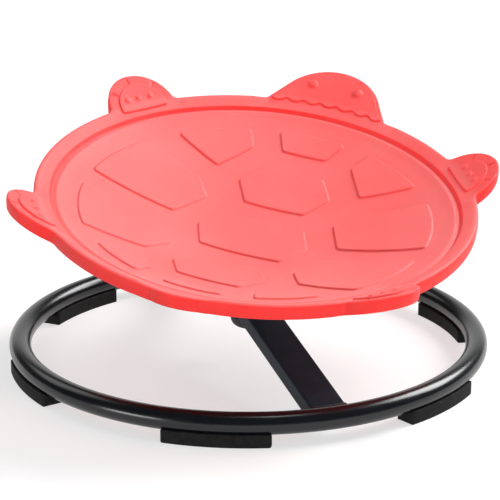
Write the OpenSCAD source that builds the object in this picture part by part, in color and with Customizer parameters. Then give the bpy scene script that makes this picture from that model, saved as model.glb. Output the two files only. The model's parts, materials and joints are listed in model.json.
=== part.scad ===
// Turtle-shaped spinning seat: a moulded dish on a ball-bearing hub whose axis leans,
// carried by a rising cross bar on a tube ring with six rubber pads.
// Millimetres. Z is up, the floor is at zero, the ring is centred on Z, the seat leans to -Y.

/* [Base ring] */
// Radius of the ring's tube centre-line
ring_r = 262.5; // [256:0.5:290]
// Outer diameter of the ring's tube
ring_tube_d = 25; // [23:0.5:30]
// Wall of the ring's tube and of the cross bar
tube_wall = 1.5; // [1:0.1:2.2]

/* [Rubber pads] */
// Height of a pad under the tube
foot_drop = 11.5; // [9:0.5:18]
// Width of a pad across the tube
foot_w = 25; // [23:0.5:27]
// Height of a pad's side above the tube's lowest line
foot_lip = 4; // [2:0.5:6]
// Arc of the ring covered by one pad, in degrees
foot_span = 25.5; // [18:0.5:36]
// Middle of the first pad, in degrees from the low end of the bar
foot_turn = 27; // [20:0.5:34]
// Rounding of a pad's four corners, seen from above
foot_corner_r = 5; // [2:0.5:8]
// Slope taken off a pad's lower edges
foot_chamfer = 1; // [0.4:0.2:2]
// Shank diameter of a pad's screw
screw_d = 4; // [3:0.5:5]
// Head diameter of a pad's screw
screw_head_d = 8; // [7:0.5:9]
// Head height of a pad's screw
screw_head_h = 2.5; // [2:0.25:3]
// Height of the screw's head above the floor
screw_sink = 4; // [3:0.25:5]
// Length of the screw inside the tube
screw_bite = 6; // [4:0.5:8]

/* [Cross bar] */
// Width of the bar
bar_w = 40; // [38:0.5:50]
// Height of the bar's section
bar_h = 20; // [16:0.5:22]
// Rounding of the bar's long edges
bar_corner_r = 3; // [2.4:0.1:5]
// Height of the bar's middle line above the ring's plane at the hub
hub_rise = 44.7; // [38:0.1:55]
// Length of the rising leg beyond the hub, up to its mitre
mitre_reach = 80; // [50:1:100]

/* [Hub] */
// Lean of the spinning axis, in degrees
lean = 11.8; // [8:0.1:14]
// Outer diameter of the bearing sleeve
sleeve_d = 34; // [33:0.2:36]
// Height of the sleeve above the bar's top
sleeve_above = 36; // [32:0.5:40]
// Length of the sleeve under the bar's underside
sleeve_below = 17; // [16:0.5:22]
// Outer diameter of a bearing
bearing_d = 28; // [27:0.1:29]
// Bore of a bearing
bearing_bore = 12; // [11:0.1:13]
// Width of a bearing
bearing_w = 8; // [7.4:0.1:9]
// Depth of the upper bearing's face in the sleeve
bearing_recess = 1; // [0.6:0.1:1.4]
// Height of the lower bearing's face above the sleeve's lower end
nut_room = 13; // [12.4:0.1:15]
// Diameter of a ball
ball_d = 4.75; // [4.5:0.05:5]
// Radial distance between the two races
race_gap = 6; // [5.4:0.1:6.4]
// Ring width of a cage
cage_t = 1.6; // [1.2:0.1:2]
// Height of a cage
cage_h = 6.4; // [6:0.1:7]
// Thickness of the circlip
circlip_t = 1.2; // [1:0.1:1.4]
// Radial width of the circlip
circlip_w = 2.6; // [2.2:0.1:3]
// Depth of the circlip's groove in the sleeve
circlip_depth = 0.8; // [0.6:0.1:1]
// Wall of the sleeve's cap
cap_wall = 2; // [1.6:0.1:3]
// Height of the cap's grip on the sleeve
cap_grip = 11; // [8:0.5:13]
// Rounding of the cap's lower edge
cap_round = 7; // [4:0.5:9]

/* [Spindle] */
// Diameter of the spindle's shoulder on the upper bearing
shoulder_d = 16; // [15:0.2:16.8]
// Height of that shoulder
shoulder_h = 2; // [1.6:0.1:3]
// Diameter of the spindle's neck
neck_d = 20; // [18:0.2:21]
// Height of the seat plate's top above the sleeve
neck_h = 19; // [16:0.5:26]
// Diameter of the collar under the seat's plate
collar_d = 34; // [30:0.5:44]
// Height of the collar
collar_h = 5; // [4:0.5:6]
// Width of the spindle's nut across its flats
nut_af = 19; // [18:0.2:20]
// Height of the spindle's nut
nut_h = 9; // [8:0.2:9.6]
// Outer diameter of the washer over the nut
nut_washer_d = 18; // [17.6:0.2:19]
// Thickness of the washers
washer_t = 1.6; // [1.2:0.1:2]
// Wall of the dust cover
cover_wall = 2; // [1.5:0.1:2.5]
// Distance between the dust cover and the sleeve
cover_gap = 1.2; // [0.8:0.1:2]
// Height of the dust cover's skirt
cover_h = 12; // [9:0.5:14]

/* [Seat plate] */
// Diameter of the plate
plate_d = 130; // [120:1:150]
// Thickness of the plate
plate_t = 5; // [4:0.5:6]
// Diameter of the bolt circle
bolt_circle_d = 100; // [90:1:108]
// Shank diameter of a seat bolt
bolt_d = 6; // [5:0.5:7]
// Width of a bolt's head across its flats
bolt_af = 10; // [9:0.5:11]
// Height of a bolt's head
bolt_head_h = 4; // [3.5:0.25:5]
// Outer diameter of a bolt's washer
bolt_washer_d = 14; // [13:0.5:16]
// Outer diameter of a threaded insert
insert_d = 9; // [8.6:0.1:10]
// Length of a threaded insert
insert_h = 12; // [10:0.5:12.5]
// Outer diameter of a moulded boss
boss_d = 22; // [18:0.5:26]
// Height of a boss under the middle of the dish
boss_h = 14; // [13:0.5:18]
// Wall of the ring that joins the bosses
boss_ring_t = 4; // [3:0.5:6]

/* [Seat shell] */
// Turn of the head from the uphill side, in degrees
seat_turn = 39.6; // [0:0.1:360]
// Radius at which the dish meets the rim's inner wall
dish_r = 227; // [210:0.5:240]
// Radius of the dish's hollow sphere
bowl_r = 555; // [500:1:640]
// Height of the rim's inner wall above the dish's edge
wall_h = 10.5; // [8:0.5:14]
// Width of the rim's inner wall, seen from above
wall_w = 6; // [4:0.5:8]
// Width of the rim's top, with its rounded edges
rim_w = 17; // [15:0.5:24]
// Height of the rim's skirt
skirt_h = 17; // [12:0.5:22]
// Width by which the skirt draws in, above and below its parting line
skirt_draft = 0.6; // [0.2:0.1:1.2]
// Wall of the moulding
shell_wall = 4; // [3.2:0.1:5]
// Rounding of the rim's outer edge
rim_round = 7.5; // [4:0.1:8]
// Rounding of the rim's inner edge
lip_round = 4; // [2:0.1:5]
// Rounding in the corner under the rim's inner wall
cove_round = 8; // [4:0.5:12]
// Rounding of the skirt's lower edge
skirt_round = 1.5; // [0.5:0.1:1.8]

/* [Shell panels] */
// Width of the plain band around the field of raised panels
panel_band = 27; // [22:0.5:36]
// Height of a panel above the dish
panel_h = 1.6; // [1:0.1:3]

/* [Head and limbs] */
// Radius of the head's outline
head_r = 66.5; // [60:0.5:75]
// Distance of the head's middle inside the rim's outer edge
head_in = 15; // [10:0.5:22]
// Slope of the head's flared sides, in degrees
head_flare = 30.5; // [20:0.5:36]
// Flat width on the rim before head and tail turn up
head_flat = 5; // [3:0.5:8]
// Radius of the head's upward curve
head_turn_r = 60; // [40:1:80]
// Final slope of the head, in degrees
head_slope = 24; // [15:0.5:30]
// Edge left around the head's raised face
face_edge = 5; // [4:0.5:8]
// Height of the raised faces on head and flippers
face_h = 2; // [1:0.1:2.5]
// Radius of one scallop in the face's lower edge
scallop_r = 18; // [15:0.1:20]
// Distance of the scallops' middles beyond the rim's outer edge
scallop_up = 13; // [11:0.2:14]
// Angle between two scallops, in degrees
scallop_step = 4.75; // [4.5:0.05:4.9]
// Radius of an eye's outline
eye_r = 6.5; // [5:0.1:9]
// Height of an eye
eye_h = 3; // [2:0.1:4]
// Distance of an eye from the head's middle line
eye_side = 28.5; // [20:0.5:34]
// Distance of an eye beyond the head's middle
eye_up = 36.5; // [32:0.5:42]
// Radius of a flipper's outline
flipper_r = 44; // [38:0.5:48]
// Distance of a flipper's middle inside the rim's outer edge
flipper_in = 7.5; // [4:0.5:13]
// Flat width on the rim before a flipper turns up
flipper_flat = 3; // [2:0.5:7]
// Radius of a flipper's upward curve
flipper_turn_r = 22; // [16:1:40]
// Final slope of a flipper, in degrees
flipper_slope = 26; // [15:0.5:32]
// Angle of the front flippers from the head, in degrees
front_turn = 53.8; // [48:0.2:62]
// Angle of the hind flippers from the head, in degrees
hind_turn = 128; // [118:0.5:136]
// Radius of a flipper's raised pad
pad_r = 30.5; // [26:0.5:34]
// Flat width on the rim before a pad's straight edge
pad_flat = 2; // [1:0.5:6]
// Radius of a pad's dot
dot_r = 3.5; // [2.5:0.1:4.5]
// Height of a pad's dot
dot_h = 1.5; // [1:0.1:2]
// Distance of the dots beyond the pad's straight edge
dot_up = 14; // [9:0.5:17]
// Distance between two dots
dot_step = 15.5; // [12:0.5:18]
// Shift of the dots' row towards the head
dot_shift = -2; // [-4:0.5:4]
// Radius of the tail's outline
tail_r = 40; // [34:0.5:46]
// Distance of the tail's middle inside the rim's outer edge
tail_in = 31; // [24:0.5:34]

/* [Underside ribs] */
// Thickness of a rib
rib_t = 3; // [2:0.1:4]
// Height of a rib under the dish
rib_h = 9; // [6:0.5:12]
// Number of radial ribs
rib_count = 12; // [8:1:16]
// Radius of the round rib
rib_ring_r = 145; // [120:1:175]
// Distance between the ends of the ribs and the dish's edge
rib_gap = 1; // [0.5:0.5:8]

/* [Fits] */
// Radial clearance of pieces that are fitted together
fit_gap = 0.05; // [0.02:0.01:0.1]
// Clearance around a ball
ball_play = 0.04; // [0.02:0.01:0.06]
// Radial clearance of a bolt in the plate
bolt_play = 0.3; // [0.2:0.1:0.6]
// Length by which cutting shapes run past the material
overrun = 5; // [2:0.5:8]

/* [Hidden] */
$fn = 72;
fine_fn = 180;
curve_steps = 5;
limb_steps = 4;
black_steel = [0.05, 0.05, 0.055];
black_rubber = [0.07, 0.07, 0.07];
black_plastic = [0.08, 0.08, 0.085];
bright_steel = [0.72, 0.73, 0.75];
zinc_steel = [0.62, 0.63, 0.64];
brass = [0.78, 0.62, 0.32];
coral = [0.96, 0.36, 0.34];

// heights above the floor
ring_z = foot_drop + ring_tube_d / 2;
hub_z = ring_z + hub_rise;
foot_count = 6;
foot_pitch = 360 / foot_count;

// the bar's two legs and their mitre, in the upright plane through the bar
rise_angle = atan2(hub_rise, ring_r);
rise_len = ring_r / cos(rise_angle) + mitre_reach;
mitre_y = mitre_reach * cos(rise_angle);
mitre_z = hub_z + mitre_reach * sin(rise_angle);
fall_angle = atan2(mitre_z - ring_z, ring_r - mitre_y);
fall_len = norm([ring_r - mitre_y, mitre_z - ring_z]);
mitre_angle = (rise_angle - fall_angle) / 2;

// heights along the leaning axis, from the bar's middle line
sleeve_top = bar_h / 2 + sleeve_above;
sleeve_low = -bar_h / 2 - sleeve_below;
upper_z = sleeve_top - bearing_recess - bearing_w;
lower_z = sleeve_low + nut_room;
pitch_d = (bearing_d + bearing_bore) / 2;
inner_race_d = pitch_d - race_gap / 2;
outer_race_d = pitch_d + race_gap / 2;
ball_count = 8;
groove_r = ball_d / 2 + ball_play;
step_d = (bearing_d + outer_race_d) / 2;
plate_z = sleeve_top + neck_h;
collar_z = plate_z - plate_t;
cover_z = sleeve_top + shoulder_h + cover_wall * 2;
bolt_count = 4;

// distances from the axis in the seat
rim_in_r = dish_r + wall_w;
rim_r = rim_in_r + rim_w;
skirt_r = rim_r - skirt_draft;
panel_reach = dish_r - panel_band;
rib_end_r = dish_r - rib_gap;
limb_root = rim_in_r + lip_round;
head_out = rim_r - head_in;
head_start = limb_root + head_flat;
scallop_out = rim_r + scallop_up;
eye_out = head_out + eye_up;
flipper_out = rim_r - flipper_in;
flipper_start = limb_root + flipper_flat;
pad_out = limb_root + pad_flat;
dot_out = pad_out + dot_up;
tail_out = rim_r - tail_in;
limb_reach = head_out + head_r + overrun;
limb_top = limb_reach - rim_r;

// heights in the seat, from the rim's top, and of the rim above the bar's middle line
dish_depth = wall_h + bowl_r - sqrt(bowl_r * bowl_r - dish_r * dish_r);
bowl_z = bowl_r - dish_depth;
floor_z = -dish_depth - shell_wall - boss_h;
rim_rise = plate_z - floor_z;
eye_sphere_r = (eye_r * eye_r + eye_h * eye_h) / (2 * eye_h);
dot_sphere_r = (dot_r * dot_r + dot_h * dot_h) / (2 * dot_h);

// width of the flare's upper end, as a share of the head's width there
flare_share = 0.9;

// half outlines of the panels on the middle line, as shares of panel_reach
middle_shares = [
    [[0.135, 0.835], [0.275, 1.125]],
    [[0.18, 0.33], [0.28, 0.505], [0.18, 0.68]],
    [[0.24, -0.23], [0.33, -0.025], [0.24, 0.175]],
    [[0.18, -0.735], [0.2725, -0.56], [0.19, -0.39]],
    [[0.21, -1.08], [0.14, -0.89]]];
// outlines of the panels beside it, as shares of panel_reach
side_shares = [
    [[0.305, 0.8], [0.44, 0.56], [1.04, 0.79], [0.435, 1.085]],
    [[0.485, 0.4], [0.385, 0.2575], [0.495, 0.0075], [1.15, 0.0075], [1.15, 0.61]],
    [[0.455, -0.155], [0.365, -0.365], [0.45, -0.53], [1.15, -0.69], [1.15, -0.155]],
    [[0.385, -0.685], [0.3, -0.815], [0.3725, -1.085], [1.06, -0.8475]]];

// points with left and right swapped, read from the end
function mirrored(list) = [for (k = [len(list) - 1 : -1 : 0]) [-list[k][0], list[k][1]]];
function backwards(list) = [for (k = [len(list) - 1 : -1 : 0]) list[k]];
function unit(v) = v / norm(v);

// height of the dish at the distance r, lowered by a depth across its wall
function dish_height(r, below) = bowl_z - sqrt((bowl_r + below) * (bowl_r + below) - r * r);

// arc of radius r that rounds the corner b between the points a and c
function corner_arc(a, b, c, r) =
    let (u = unit(a - b), v = unit(c - b), half = acos(u * v) / 2,
         middle = b + unit(u + v) * r / sin(half),
         from = b + u * r / tan(half) - middle, to = b + v * r / tan(half) - middle,
         start = atan2(from[1], from[0]),
         turn = atan2(from[0] * to[1] - from[1] * to[0], from * to))
    [for (k = [0 : curve_steps]) middle + r * [cos(start + turn * k / curve_steps),
        sin(start + turn * k / curve_steps)]];

// outline from corners given as [x, y, rounding]
function rounded(corners) = [for (k = [0 : len(corners) - 1])
    let (n = len(corners), b = corners[k], a = corners[(k + n - 1) % n], c = corners[(k + 1) % n])
    each b[2] > 0 ? corner_arc([a[0], a[1]], [b[0], b[1]], [c[0], c[1]], b[2]) : [[b[0], b[1]]]];

// top line of a limb that turns up, lifted or lowered as a whole
function limb_line(root, start, turn_r, slope, lift) = concat([[root, lift], [start, lift]],
    [for (k = [1 : limb_steps]) [start + turn_r * sin(slope * k / limb_steps),
        lift + turn_r * (1 - cos(slope * k / limb_steps))]],
    [[limb_reach, lift + turn_r * (1 - cos(slope))
        + (limb_reach - start - turn_r * sin(slope)) * tan(slope)]]);
// height of that line at the distance r
function limb_height(start, turn_r, slope, r) = r < start + turn_r * sin(slope)
    ? turn_r - sqrt(turn_r * turn_r - (r - start) * (r - start))
    : turn_r * (1 - cos(slope)) + (r - start - turn_r * sin(slope)) * tan(slope);

module on_hub() {
    translate([0, 0, hub_z]) rotate([lean, 0, 0]) children();
}

module on_seat() {
    on_hub() translate([0, 0, rim_rise]) rotate([0, 0, -seat_turn]) children();
}

module at_bolts() {
    for (k = [0 : bolt_count - 1])
        rotate([0, 0, 360 * (k + 1 / 2) / bolt_count - seat_turn])
            translate([bolt_circle_d / 2, 0, 0]) children();
}

module at_feet() {
    for (k = [0 : foot_count - 1])
        rotate([0, 0, -90 - foot_turn - foot_pitch * k]) children();
}

module at_screws() {
    for (side = [-1, 1])
        rotate([0, 0, side * foot_span / 4]) translate([ring_r, 0, 0]) children();
}

module tube(outer_d, inner_d, low, high) {
    translate([0, 0, low]) difference() {
        cylinder(d = outer_d, h = high - low);
        translate([0, 0, -overrun]) cylinder(d = inner_d, h = high - low + 2 * overrun);
    }
}

module torus(middle_r, section_d) {
    rotate_extrude($fn = fine_fn) translate([middle_r, 0]) circle(d = section_d);
}

// the steel base
module base_ring() color(black_steel) translate([0, 0, ring_z]) difference() {
    torus(ring_r, ring_tube_d);
    torus(ring_r, ring_tube_d - 2 * tube_wall);
    at_feet() at_screws() translate([0, 0, -ring_tube_d])
        cylinder(d = screw_d + 2 * fit_gap, h = ring_tube_d);
}

module round_rect(w, h, r) {
    square([w, h - 2 * r], center = true);
    square([w - 2 * r, h], center = true);
    for (x = [-1, 1], y = [-1, 1]) translate([x * (w / 2 - r), y * (h / 2 - r)]) circle(r = r);
}

module bar_section() {
    inner_r = bar_corner_r - tube_wall;
    difference() {
        round_rect(bar_w, bar_h, bar_corner_r);
        round_rect(bar_w - 2 * tube_wall, bar_h - 2 * tube_wall, inner_r);
    }
}

// everything on one side of the mitre
module mitre_side(side) {
    translate([0, mitre_y, mitre_z]) rotate([mitre_angle, 0, 0])
        translate([0, side * ring_r, 0]) cube(2 * ring_r, center = true);
}

module rising_leg() difference() {
    translate([0, -ring_r, ring_z]) rotate([rise_angle - 90, 0, 0])
        linear_extrude(rise_len + bar_h) bar_section();
    mitre_side(1);
    translate([0, 0, ring_z]) torus(ring_r, ring_tube_d);
    on_hub() translate([0, 0, -bar_w]) cylinder(d = sleeve_d + 2 * fit_gap, h = 2 * bar_w);
}

module falling_leg() difference() {
    translate([0, ring_r, ring_z]) rotate([90 - fall_angle, 0, 0])
        linear_extrude(fall_len + bar_h) bar_section();
    mitre_side(-1);
    translate([0, 0, ring_z]) torus(ring_r, ring_tube_d);
}

module cross_bar() color(black_steel) {
    rising_leg();
    falling_leg();
}

module bearing_sleeve() color(black_steel) on_hub() difference() {
    tube(sleeve_d, step_d, sleeve_low, sleeve_top);
    translate([0, 0, upper_z]) cylinder(d = bearing_d + 2 * fit_gap, h = sleeve_above);
    translate([0, 0, lower_z + bearing_w - bar_w]) cylinder(d = bearing_d + 2 * fit_gap, h = bar_w);
    translate([0, 0, lower_z - circlip_t - fit_gap])
        cylinder(d = bearing_d + 2 * circlip_depth, h = circlip_t + fit_gap);
}

module sleeve_cap() color(black_plastic) on_hub() rotate_extrude() {
    polygon(rounded([[0, sleeve_low - cap_wall, 0],
        [sleeve_d / 2 + cap_wall, sleeve_low - cap_wall, cap_round],
        [sleeve_d / 2 + cap_wall, sleeve_low + cap_grip, cap_wall / 2],
        [sleeve_d / 2 + fit_gap, sleeve_low + cap_grip, 0], [sleeve_d / 2 + fit_gap, sleeve_low, 0],
        [sleeve_d / 2 - cap_round, sleeve_low, 0], [0, sleeve_low, 0]]));
}

// rubber pads and their screws
module foot_corner(middle_r, side) {
    turn = foot_span / 2 - asin(foot_corner_r / middle_r);
    middle = middle_r * [cos(turn), sin(turn)];
    first = side > 0 ? turn : turn + 180;
    sweep = foot_span / 2 + 90 - first;
    past = foot_corner_r + overrun;
    polygon(concat(
        [for (k = [0 : curve_steps]) middle + foot_corner_r * [cos(first + sweep * k / curve_steps),
            sin(first + sweep * k / curve_steps)]],
        [middle + past * [cos(first + sweep), sin(first + sweep)],
            middle + 2 * past * [cos(first + sweep / 2), sin(first + sweep / 2)],
            middle + past * [cos(first), sin(first)]]));
}

module foot_pad(k) {
    inner = ring_r - foot_w / 2;
    outer = ring_r + foot_w / 2;
    color(black_rubber) rotate([0, 0, -90 - foot_turn - foot_pitch * (k - 1)]) difference() {
        rotate([0, 0, -foot_span / 2]) rotate_extrude(angle = foot_span, $fn = fine_fn)
            polygon([[inner + foot_chamfer, 0], [outer - foot_chamfer, 0], [outer, foot_chamfer],
                [outer, foot_drop + foot_lip], [inner, foot_drop + foot_lip], [inner, foot_chamfer]]);
        for (m = [0, 1]) mirror([0, m, 0]) translate([0, 0, -overrun]) linear_extrude(ring_z + overrun) {
            foot_corner(outer - foot_corner_r, 1);
            foot_corner(inner + foot_corner_r, -1);
        }
        translate([0, 0, ring_z]) torus(ring_r, ring_tube_d);
        at_screws() {
            translate([0, 0, -overrun]) cylinder(d = screw_d + 2 * fit_gap, h = ring_z + overrun);
            translate([0, 0, -overrun])
                cylinder(d = screw_head_d + 2 * bolt_play, h = screw_sink + screw_head_h + overrun);
        }
    }
}

module foot_1() foot_pad(1);
module foot_2() foot_pad(2);
module foot_3() foot_pad(3);
module foot_4() foot_pad(4);
module foot_5() foot_pad(5);
module foot_6() foot_pad(6);

module foot_screws() color(zinc_steel) at_feet() at_screws() translate([0, 0, screw_sink]) {
    cylinder(d = screw_head_d, h = screw_head_h);
    cylinder(d = screw_d, h = foot_drop + screw_bite - screw_sink);
}

// the two bearings
module groove(low) {
    translate([0, 0, low + bearing_w / 2]) torus(pitch_d / 2, 2 * groove_r);
}

module outer_race(low) color(bright_steel) on_hub() difference() {
    tube(bearing_d, outer_race_d, low, low + bearing_w);
    groove(low);
}

module inner_race(low) color(bright_steel) on_hub() difference() {
    tube(inner_race_d, bearing_bore + 2 * fit_gap, low, low + bearing_w);
    groove(low);
}

module at_balls(low) {
    for (k = [0 : ball_count - 1])
        rotate([0, 0, 360 * k / ball_count]) translate([pitch_d / 2, 0, low + bearing_w / 2]) children();
}

module balls(low) color(bright_steel) on_hub() at_balls(low) sphere(d = ball_d);

module cage(low) color(brass) on_hub() difference() {
    tube(pitch_d + cage_t, pitch_d - cage_t, low + (bearing_w - cage_h) / 2, low + (bearing_w + cage_h) / 2);
    at_balls(low) translate([-cage_t, 0, 0]) rotate([0, 90, 0]) cylinder(r = groove_r, h = 2 * cage_t);
}

module upper_outer_race() outer_race(upper_z);
module upper_inner_race() inner_race(upper_z);
module upper_balls() balls(upper_z);
module upper_cage() cage(upper_z);
module lower_outer_race() outer_race(lower_z);
module lower_inner_race() inner_race(lower_z);
module lower_balls() balls(lower_z);
module lower_cage() cage(lower_z);

module circlip() color(bright_steel) on_hub() translate([0, 0, lower_z - circlip_t])
    linear_extrude(circlip_t) {
        outer = bearing_d / 2 + circlip_depth - fit_gap;
        eye = outer - circlip_w;
        difference() {
            union() {
                difference() {
                    circle(r = outer);
                    circle(r = eye);
                    translate([0, -circlip_w]) square([2 * outer, 2 * circlip_w]);
                }
                for (side = [-1, 1]) translate([eye, side * circlip_w]) circle(d = circlip_w);
            }
            for (side = [-1, 1]) translate([eye, side * circlip_w]) circle(d = circlip_t);
        }
    }

module bearing_spacer() color(zinc_steel) on_hub()
    tube(inner_race_d, bearing_bore + 2 * fit_gap, lower_z + bearing_w, upper_z);

// the turning column
module spindle() color(bright_steel) on_hub() {
    translate([0, 0, lower_z - washer_t - nut_h])
        cylinder(d = bearing_bore, h = upper_z + bearing_w + shoulder_h - lower_z + washer_t + nut_h);
    translate([0, 0, upper_z + bearing_w]) cylinder(d = shoulder_d, h = bearing_recess + shoulder_h);
    translate([0, 0, sleeve_top + shoulder_h]) cylinder(d = neck_d, h = plate_z - sleeve_top - shoulder_h);
    translate([0, 0, collar_z - collar_h]) cylinder(d = collar_d, h = collar_h);
}

module spindle_washer() color(zinc_steel) on_hub()
    tube(nut_washer_d, bearing_bore + 2 * fit_gap, lower_z - washer_t, lower_z);

module spindle_nut() color(zinc_steel) on_hub() translate([0, 0, lower_z - washer_t - nut_h])
    linear_extrude(nut_h) difference() {
        circle(d = nut_af / cos(30), $fn = 6);
        circle(d = bearing_bore + 2 * fit_gap);
    }

module dust_cover() color(black_plastic) on_hub() {
    inner = sleeve_d / 2 + cover_gap;
    rotate_extrude() polygon(rounded([[neck_d / 2 + fit_gap, cover_z - cover_wall, 0],
        [inner, cover_z - cover_wall, 0], [inner, cover_z - cover_h, 0],
        [inner + cover_wall, cover_z - cover_h, 0], [inner + cover_wall, cover_z, cover_wall],
        [neck_d / 2 + fit_gap, cover_z, 0]]));
}

module seat_plate() color(black_steel) on_hub() translate([0, 0, collar_z]) difference() {
    cylinder(d = plate_d, h = plate_t);
    translate([0, 0, -overrun]) cylinder(d = neck_d + 2 * fit_gap, h = plate_t + 2 * overrun);
    at_bolts() translate([0, 0, -overrun]) cylinder(d = bolt_d + 2 * bolt_play, h = plate_t + 2 * overrun);
}

module bolt_washers() color(zinc_steel) on_hub() at_bolts()
    tube(bolt_washer_d, bolt_d + 2 * bolt_play, collar_z - washer_t, collar_z);

module seat_bolts() color(zinc_steel) on_hub() at_bolts() translate([0, 0, collar_z - washer_t]) {
    cylinder(d = bolt_d, h = washer_t + plate_t + insert_h);
    translate([0, 0, -bolt_head_h]) linear_extrude(bolt_head_h) circle(d = bolt_af / cos(30), $fn = 6);
}

module thread_inserts() color(brass) on_hub() at_bolts()
    tube(insert_d, bolt_d + 2 * fit_gap, plate_z, plate_z + insert_h);

// the moulded seat
module bowl_section(above, below, reach) {
    intersection() {
        translate([0, bowl_z]) difference() {
            circle(r = bowl_r + below, $fn = 2 * fine_fn);
            circle(r = bowl_r - above, $fn = 2 * fine_fn);
        }
        translate([0, -2 * dish_depth]) square([reach, 2 * dish_depth]);
    }
}

module bowl_layer(above, below, reach) {
    rotate_extrude($fn = fine_fn) bowl_section(above, below, reach);
}

module rim_section() {
    edge_z = dish_height(dish_r, 0);
    under = shell_wall * (rim_in_r - dish_r) / (-edge_z);
    polygon(rounded([
        [dish_r - cove_round, dish_height(dish_r - cove_round, shell_wall / 2), 0],
        [dish_r, edge_z, cove_round],
        [rim_in_r, 0, lip_round],
        [skirt_r, 0, rim_round],
        [rim_r, -skirt_h / 2, 0],
        [skirt_r, -skirt_h, skirt_round],
        [skirt_r - shell_wall, -skirt_h, skirt_round],
        [skirt_r - shell_wall, -shell_wall, skirt_round],
        [rim_in_r + under, -shell_wall, skirt_round],
        [dish_r + under, edge_z - shell_wall - skirt_round, skirt_round]]));
}

module dish() {
    rotate_extrude($fn = fine_fn) {
        bowl_section(0, shell_wall, dish_r);
        rim_section();
    }
}

module panel_plan() {
    for (half = middle_shares) polygon(panel_reach * concat(half, mirrored(half)));
    for (m = [0, 1], shares = side_shares) mirror([m, 0]) polygon(panel_reach * shares);
}

module panels() {
    intersection() {
        translate([0, 0, floor_z]) linear_extrude(-floor_z) intersection() {
            panel_plan();
            circle(r = panel_reach, $fn = fine_fn);
        }
        bowl_layer(panel_h, shell_wall / 2, dish_r);
    }
}

module ribs() {
    intersection() {
        translate([0, 0, 2 * floor_z]) linear_extrude(-2 * floor_z) intersection() {
            union() {
                for (k = [0 : rib_count - 1]) rotate(360 * k / rib_count)
                    translate([bolt_circle_d / 2, -rib_t / 2]) square([rib_end_r, rib_t]);
                difference() {
                    circle(r = rib_ring_r + rib_t / 2, $fn = fine_fn);
                    circle(r = rib_ring_r - rib_t / 2, $fn = fine_fn);
                }
            }
            circle(r = rib_end_r, $fn = fine_fn);
        }
        bowl_layer(-shell_wall / 2, shell_wall + rib_h, dish_r);
    }
}

module bosses() {
    intersection() {
        translate([0, 0, floor_z]) linear_extrude(-floor_z) {
            rotate(seat_turn) at_bolts() circle(d = boss_d);
            difference() {
                circle(d = bolt_circle_d + boss_ring_t);
                circle(d = bolt_circle_d - boss_ring_t);
            }
        }
        bowl_layer(-shell_wall / 2, dish_depth, plate_d);
    }
}

// a layer of a limb between two depths under its top
module limb_layer(start, turn_r, slope, high, low) {
    rotate_extrude($fn = fine_fn) polygon(concat(limb_line(limb_root, start, turn_r, slope, high),
        backwards(limb_line(limb_root, start, turn_r, slope, low))));
}

module limb_block() {
    translate([0, 0, -2 * skirt_h]) linear_extrude(2 * skirt_h + limb_top) children();
}

module head_plan(inset) {
    r = head_r - inset;
    side = r * cos(head_flare);
    down = r * sin(head_flare) + shell_wall;
    translate([0, head_out]) {
        circle(r = r);
        polygon([[-side * flare_share, r * sin(head_flare)], [side * flare_share, r * sin(head_flare)],
            [side + down * tan(head_flare), -shell_wall], [-side - down * tan(head_flare), -shell_wall]]);
    }
}

module head_layer(high, low) limb_layer(head_start, head_turn_r, head_slope, high, low);
module flipper_layer(high, low) limb_layer(flipper_start, flipper_turn_r, flipper_slope, high, low);

module scallops() {
    intersection() {
        head_plan(face_edge);
        union() {
            difference() {
                head_plan(0);
                circle(r = scallop_out, $fn = fine_fn);
            }
            for (k = [-3 : 3]) rotate(k * scallop_step) translate([0, scallop_out]) circle(r = scallop_r);
        }
    }
}

module head() {
    difference() {
        intersection() {
            limb_block() head_plan(0);
            head_layer(0, -skirt_h);
        }
        intersection() {
            limb_block() head_plan(shell_wall);
            head_layer(-shell_wall, -skirt_h - overrun);
        }
    }
    intersection() {
        limb_block() scallops();
        head_layer(face_h, -shell_wall / 2);
    }
    intersection() {
        for (side = [-1, 1]) translate([side * eye_side, eye_out, face_h + eye_h - eye_sphere_r
            + limb_height(head_start, head_turn_r, head_slope, norm([eye_side, eye_out]))])
            rotate([90, 0, 0]) sphere(r = eye_sphere_r);
        head_layer(limb_top, -shell_wall / 2);
    }
}

module tail() {
    difference() {
        intersection() {
            limb_block() translate([0, -tail_out]) circle(r = tail_r);
            head_layer(0, -skirt_h);
        }
        intersection() {
            limb_block() translate([0, -tail_out]) circle(r = tail_r - shell_wall);
            head_layer(-shell_wall, -skirt_h - overrun);
        }
    }
}

module flipper() {
    difference() {
        intersection() {
            limb_block() translate([0, flipper_out]) circle(r = flipper_r);
            flipper_layer(0, -skirt_h);
        }
        intersection() {
            limb_block() translate([0, flipper_out]) circle(r = flipper_r - shell_wall);
            flipper_layer(-shell_wall, -skirt_h - overrun);
        }
    }
    intersection() {
        limb_block() intersection() {
            translate([0, flipper_out]) circle(r = pad_r);
            translate([-pad_r, pad_out]) square(2 * pad_r);
        }
        flipper_layer(face_h, -shell_wall / 2);
    }
    intersection() {
        for (k = [-1 : 1]) translate([dot_shift + k * dot_step, dot_out, face_h + dot_h - dot_sphere_r
            + limb_height(flipper_start, flipper_turn_r, flipper_slope, dot_out)])
            rotate([90, 0, 0]) sphere(r = dot_sphere_r);
        flipper_layer(limb_top, -shell_wall / 2);
    }
}

module seat_shell() color(coral) on_seat() difference() {
    union() {
        dish();
        panels();
        ribs();
        bosses();
        head();
        tail();
        for (m = [0, 1], turn = [front_turn, hind_turn]) mirror([m, 0, 0]) rotate([0, 0, turn]) flipper();
    }
    rotate([0, 0, seat_turn]) translate([0, 0, -rim_rise]) at_bolts() translate([0, 0, plate_z - overrun])
        cylinder(d = insert_d + 2 * fit_gap, h = insert_h + overrun);
}

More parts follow.
